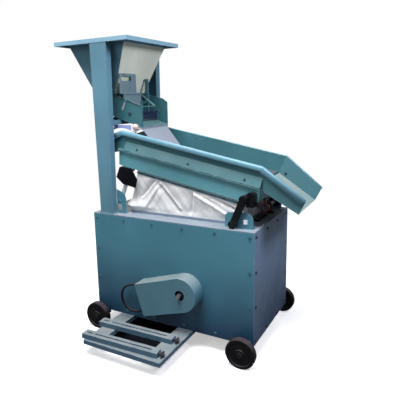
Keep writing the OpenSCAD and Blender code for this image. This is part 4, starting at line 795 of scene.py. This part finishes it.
def ring_faces(round_n, rise_n):
    """Quads between neighbouring rings, closed round, with the outside to the front."""
    j, i = np.meshgrid(np.arange(rise_n - 1), np.arange(round_n), indexing="ij")
    k = (i + 1) % round_n
    corners = [j * round_n + i, j * round_n + k, (j + 1) * round_n + k, (j + 1) * round_n + i]
    return np.stack(corners, -1).reshape(-1, 4).tolist()


canvas = mesh_object("canvas", grid, ring_faces(ROUND, RISE))
# how deep in a fold each point lies, which the cloth turns into painted shade
canvas.data.attributes.new("valley", "FLOAT", "POINT").data.foreach_set("value", depth.ravel())
wall = canvas.modifiers.new("cloth", "SOLIDIFY")
wall.thickness, wall.offset = CLOTH_THICKNESS, -1
canvas.data.materials.append(canvas_cloth)
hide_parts("canvas_sleeve")
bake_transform(canvas)

# %% [markdown]
# ## Rolled rims
# The deck, the chute and the spout have a rim that is rolled outwards, so its top is
# round and shines along its whole length. The construction model has it with square
# corners. Here a rounded profile is carried along the three runs of each side, with
# extra rings beside the two mitres, so that the shine doesn't smear across them.

# %% Rolled rims: the three runs
DECK_L, DECK_HALF, SIDE_H = 1069.0, 260.0, 131.0
CHUTE_SLOPE, CHUTE_L, CHUTE_TIP_HALF = math.radians(38), 328.0, 215.0
SPOUT_SLOPE, SPOUT_L, SPOUT_TIP_HALF = math.radians(16.3), 240.0, 218.0
END_GAP, MITRE_GAP = 4.0, 6.0


def turned(angle):
    """Rotation about the machine's cross axis: positive dips the right end."""
    return np.array(Matrix.Rotation(angle, 3, "Y"))


def tray_run(turn, flip, length, tip_half, mitre):
    """Reach, outward and upward direction of a tray's near rim.

    The side is turned inward about its mitre edge by the taper, whose tangent is the narrowing over the
    length.
    """
    taper = math.atan((DECK_HALF - tip_half) / length)
    hinge = Vector((-SIDE_H * math.tan(mitre), 0, SIDE_H)).normalized()
    bent = turn @ np.diag([flip, 1, 1]) @ np.array(Matrix.Rotation(taper, 3, hinge))
    reach = (length / math.cos(taper) - END_GAP) * bent[:, 0]
    return reach, -bent[:, 1], bent[:, 2]


def in_mitre(one, other):
    """Direction of the ring in a mitre: the mean of both runs' directions."""
    return (one + other) / 2


def rim_rings():
    """Rows of point, outward and upward, from the spout's tip over the deck to the chute's tip."""
    deck = turned(DECK_SLOPE)
    along, out, up = deck[:, 0], -deck[:, 1], deck[:, 2]
    right_corner = np.array([KINK[0], -DECK_HALF, KINK[1]])
    left_corner = right_corner - DECK_L * along
    spout, spout_out, spout_up = tray_run(turned(-SPOUT_SLOPE), -1, SPOUT_L, SPOUT_TIP_HALF,
                                          (DECK_SLOPE + SPOUT_SLOPE) / 2)
    chute, chute_out, chute_up = tray_run(turned(CHUTE_SLOPE), 1, CHUTE_L, CHUTE_TIP_HALF,
                                          (CHUTE_SLOPE - DECK_SLOPE) / 2)
    return [
        (left_corner + spout, spout_out, spout_up),
        (left_corner + spout * MITRE_GAP / SPOUT_L, spout_out, spout_up),
        (left_corner, in_mitre(spout_out, out), in_mitre(spout_up, up)),
        (left_corner + MITRE_GAP * along, out, up),
        (right_corner - MITRE_GAP * along, out, up),
        (right_corner, in_mitre(out, chute_out), in_mitre(up, chute_up)),
        (right_corner + chute * MITRE_GAP / CHUTE_L, chute_out, chute_up),
        (right_corner + chute, chute_out, chute_up),
    ]


print("rings along a rim", len(rim_rings()))

# %% Rolled rims: the profile
ROLL_OUT, ROLL_UP = 15.5, 19.0
ROLL_CENTRE_OUT, ROLL_CENTRE_UP, ROLL_FLAT = 8.0, -16.0, -0.6
ROLL_SQUARE = 2 / 3
ROLL_POINTS = 20


def capped_faces(round_n, rise_n):
    """The quads of a closed tube and its two end caps."""
    last = (rise_n - 1) * round_n
    return ring_faces(round_n, rise_n) + [list(range(round_n))[::-1], [last + k for k in range(round_n)]]


def rolled_rim(name, side):
    """One rolled rim: place + outward * a + upward * b, for each ring and each angle of the profile.

    a = centre + ROLL_OUT * |cos| ** ROLL_SQUARE and b = centre + ROLL_UP * |sin| ** ROLL_SQUARE, each with
    the sign of its cos or sin, and a is cut off flat at the inside. The side 1 is near, -1 is far.
    """
    angle = np.arange(ROLL_POINTS) * 2 * math.pi / ROLL_POINTS
    c, s = np.cos(angle), np.sin(angle)
    a = np.maximum(ROLL_CENTRE_OUT + ROLL_OUT * np.sign(c) * np.abs(c) ** ROLL_SQUARE, ROLL_FLAT)
    b = ROLL_CENTRE_UP + ROLL_UP * np.sign(s) * np.abs(s) ** ROLL_SQUARE
    place, outward, upward = (np.array(rows)[:, None] for rows in zip(*rim_rings()))
    points = place + a[None, :, None] * outward + b[None, :, None] * upward
    points[..., 1] *= side
    faces = capped_faces(ROLL_POINTS, len(place))
    if side > 0:
        faces = [face[::-1] for face in faces]
    piece = mesh_object(name, to_frame(points), faces, flat_ends=True)
    piece.data.materials.append(highlit_rolled_paint)
    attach(piece, "deck")
    return piece


near_rim, far_rim = rolled_rim("rolled_rim_front", 1), rolled_rim("rolled_rim_rear", -1)
print("rims", len(near_rim.data.polygons) + len(far_rim.data.polygons), "faces")

# %% [markdown]
# ## Weld seams
# The sheet parts are joined by short-arc welds: a bead about 5 mm wide, laid in small
# overlapping scales. A bead is a round profile carried along a path, whose radius
# swells a little every 3 mm. The beads are painted over with the machine.

# %% Weld bead
BEAD_RADIUS, POST_BEAD_RADIUS = 2.4, 3.0
BEAD_STEP, BEAD_SIDES, BEAD_LEAST = 1.5, 6, 4
SCALE_PITCH, SCALE_SWELL = 3.2, 0.16
UNEVEN_RATE, UNEVEN_SWELL = 0.9, 0.08
BEAD_TIP = 0.3


def bead(name, path_mm, radius=BEAD_RADIUS):
    """A tube along straight runs between points, with the radius of a bead * (1 + scales + unevenness).

    scales = SCALE_SWELL * sin(2 pi * way / SCALE_PITCH), with the way in millimetres, and
    unevenness = UNEVEN_SWELL * sin(UNEVEN_RATE * way). Both ends are drawn in to BEAD_TIP of the radius.
    """
    path = to_frame(path_mm)
    leg = np.linalg.norm(np.diff(path, axis=0), axis=1)
    stops = np.concatenate([[0], np.cumsum(leg)])
    rings = max(BEAD_LEAST, int(leg.sum() * 1000 / BEAD_STEP))
    way = np.linspace(0, leg.sum(), rings)
    centre = np.stack([np.interp(way, stops, path[:, k]) for k in range(3)], -1)
    ahead = np.gradient(centre, axis=0)
    ahead /= np.linalg.norm(ahead, axis=1, keepdims=True)
    helper = np.where(np.abs(ahead[:, 2:3]) > 0.9, [[1.0, 0, 0]], [[0, 0, 1.0]])
    side = np.cross(ahead, helper)
    side /= np.linalg.norm(side, axis=1, keepdims=True)
    other = np.cross(side, ahead)
    scales = SCALE_SWELL * np.sin(way * 1000 * 2 * math.pi / SCALE_PITCH)
    swell = radius / 1000 * (1 + scales + UNEVEN_SWELL * np.sin(way * 1000 * UNEVEN_RATE))
    swell[[0, -1]] *= BEAD_TIP
    angle = (np.arange(BEAD_SIDES) * 2 * math.pi / BEAD_SIDES)[None, :, None]
    spoke = np.cos(angle) * side[:, None] + np.sin(angle) * other[:, None]
    ring = centre[:, None] + swell[:, None, None] * spoke
    piece = mesh_object(name, ring, capped_faces(BEAD_SIDES, rings))
    piece.data.materials.append(teal_paint)
    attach(piece, "machine")
    return piece


print("beads of", 2 * BEAD_RADIUS, "and", 2 * POST_BEAD_RADIUS, "mm")

# %% Welds of the hopper and the posts
# the hopper's left edges run from under the rim down to its outlet
RIM_X, RIM_HALF, RIM_Z = -845.0, 272.0, 2098
OUT_X, OUT_HALF, OUT_Z = -687.0, 190.0, 1752
# the posts stand on the casing's top plate
POST_X, POST_OUT, POST_IN = (-572.0, -462.0), 350.0, 295.0
POST_FOOT = 878

beads = []
for end, side in (("front", -1), ("rear", 1)):
    upper = (RIM_X - 1, side * RIM_HALF, RIM_Z - 1)
    lower = (OUT_X - 2, side * (OUT_HALF + 1), OUT_Z)
    beads.append(bead("weld_hopper_" + end + "_left", [upper, lower]))
for end, side in (("front", -1), ("rear", 1)):
    inner, outer = side * POST_IN, side * (POST_OUT + 1)
    x0, x1 = POST_X[0] - 1, POST_X[1] + 1
    foot = [(x, y, POST_FOOT) for x, y in ((x0, inner), (x0, outer), (x1, outer), (x1, inner))]
    beads.append(bead("weld_post_" + end, foot, POST_BEAD_RADIUS))
print("weld beads", [piece.name for piece in beads])

# %% [markdown]
# ## Floor finish
# The floor is a plain pale matt surface that glows as the room does where it is far
# away, so no horizon is seen. Past the rails in front, the photograph shows dark ground,
# so a soft dark patch lies there: a painted shadow of the machine on the floor. The
# machine itself gets only as much light back from the floor as from a yard's ground;
# that is what rays other than the camera's see.

# %% Floor finish
# metres from the middle at which the floor begins to glow, and where it only glows
GLOW_FROM, GLOW_FULL = 1.6, 4.5
# the patch against the rails' frame is a painted shadow: the camera looks past it, so the patch lies left
# and behind
SHADOW_LEFT, SHADOW_BACK, SHADOW_UNDER, SHADOW_INSET, SHADOW_EDGE = 0.05, 0.10, 0.35, 0.04, 0.03

floor_material, tree, xyz = start("pale_floor")
frame_corners = [NODES["rail_frame"].matrix_world @ Vector(c) for c in NODES["rail_frame"].bound_box]
x_low, y_low, _ = np.min(frame_corners, axis=0)
x_high, y_high, _ = np.max(frame_corners, axis=0)
patch = []
for axis, low, high in (("X", x_low - SHADOW_LEFT + SHADOW_INSET, x_high - SHADOW_LEFT - SHADOW_INSET),
                        ("Y", y_low + SHADOW_BACK, y_high + SHADOW_UNDER)):
    place = add(tree, AXES, {0: xyz}, axis)
    begins = add(tree, RANGE, {0: place, 1: low, 2: low + SHADOW_EDGE})
    stops = add(tree, RANGE, {0: place, 1: high, 2: high - SHADOW_EDGE})
    patch.append(add(tree, MATH, {"operation": "MULTIPLY", 0: begins, 1: stops}))
painted_shadow_share = add(tree, MATH, {"operation": "MULTIPLY", 0: patch[0], 1: patch[1]})
matt = add(tree, SHADER, {"Base Color": linear("#f1f2f4"), "Roughness": 0.85,
                          "Emission Color": linear(PALE), "Emission Strength": 0.45})
# the painted shadow: a near-black floor where the machine's shade falls between the rails
dark = add(tree, SHADER, {"Base Color": linear("#0d1016"), "Roughness": 0.9, "Specular IOR Level": 0.1})
glow = add(tree, "ShaderNodeEmission", {"Color": linear(PALE), "Strength": 1.0})
ground = add(tree, SHADER, {"Base Color": linear("#6c6e72"), "Roughness": 0.9})
distance = add(tree, "ShaderNodeVectorMath", {"operation": "LENGTH", 0: xyz}, "Value")
away = add(tree, RANGE, {0: distance, 1: GLOW_FROM, 2: GLOW_FULL})
near = add(tree, BLEND, {0: painted_shadow_share, 1: matt, 2: dark})
seen = add(tree, BLEND, {0: away, 1: near, 2: glow})
camera_ray = add(tree, "ShaderNodeLightPath", out="Is Camera Ray")
add(tree, "ShaderNodeOutputMaterial", {"Surface": add(tree, BLEND, {0: camera_ray, 1: ground, 2: seen})})
floor.data.materials.append(floor_material)
print("rails' frame", [round(float(v), 3) for v in (x_low, y_low, x_high, y_high)])
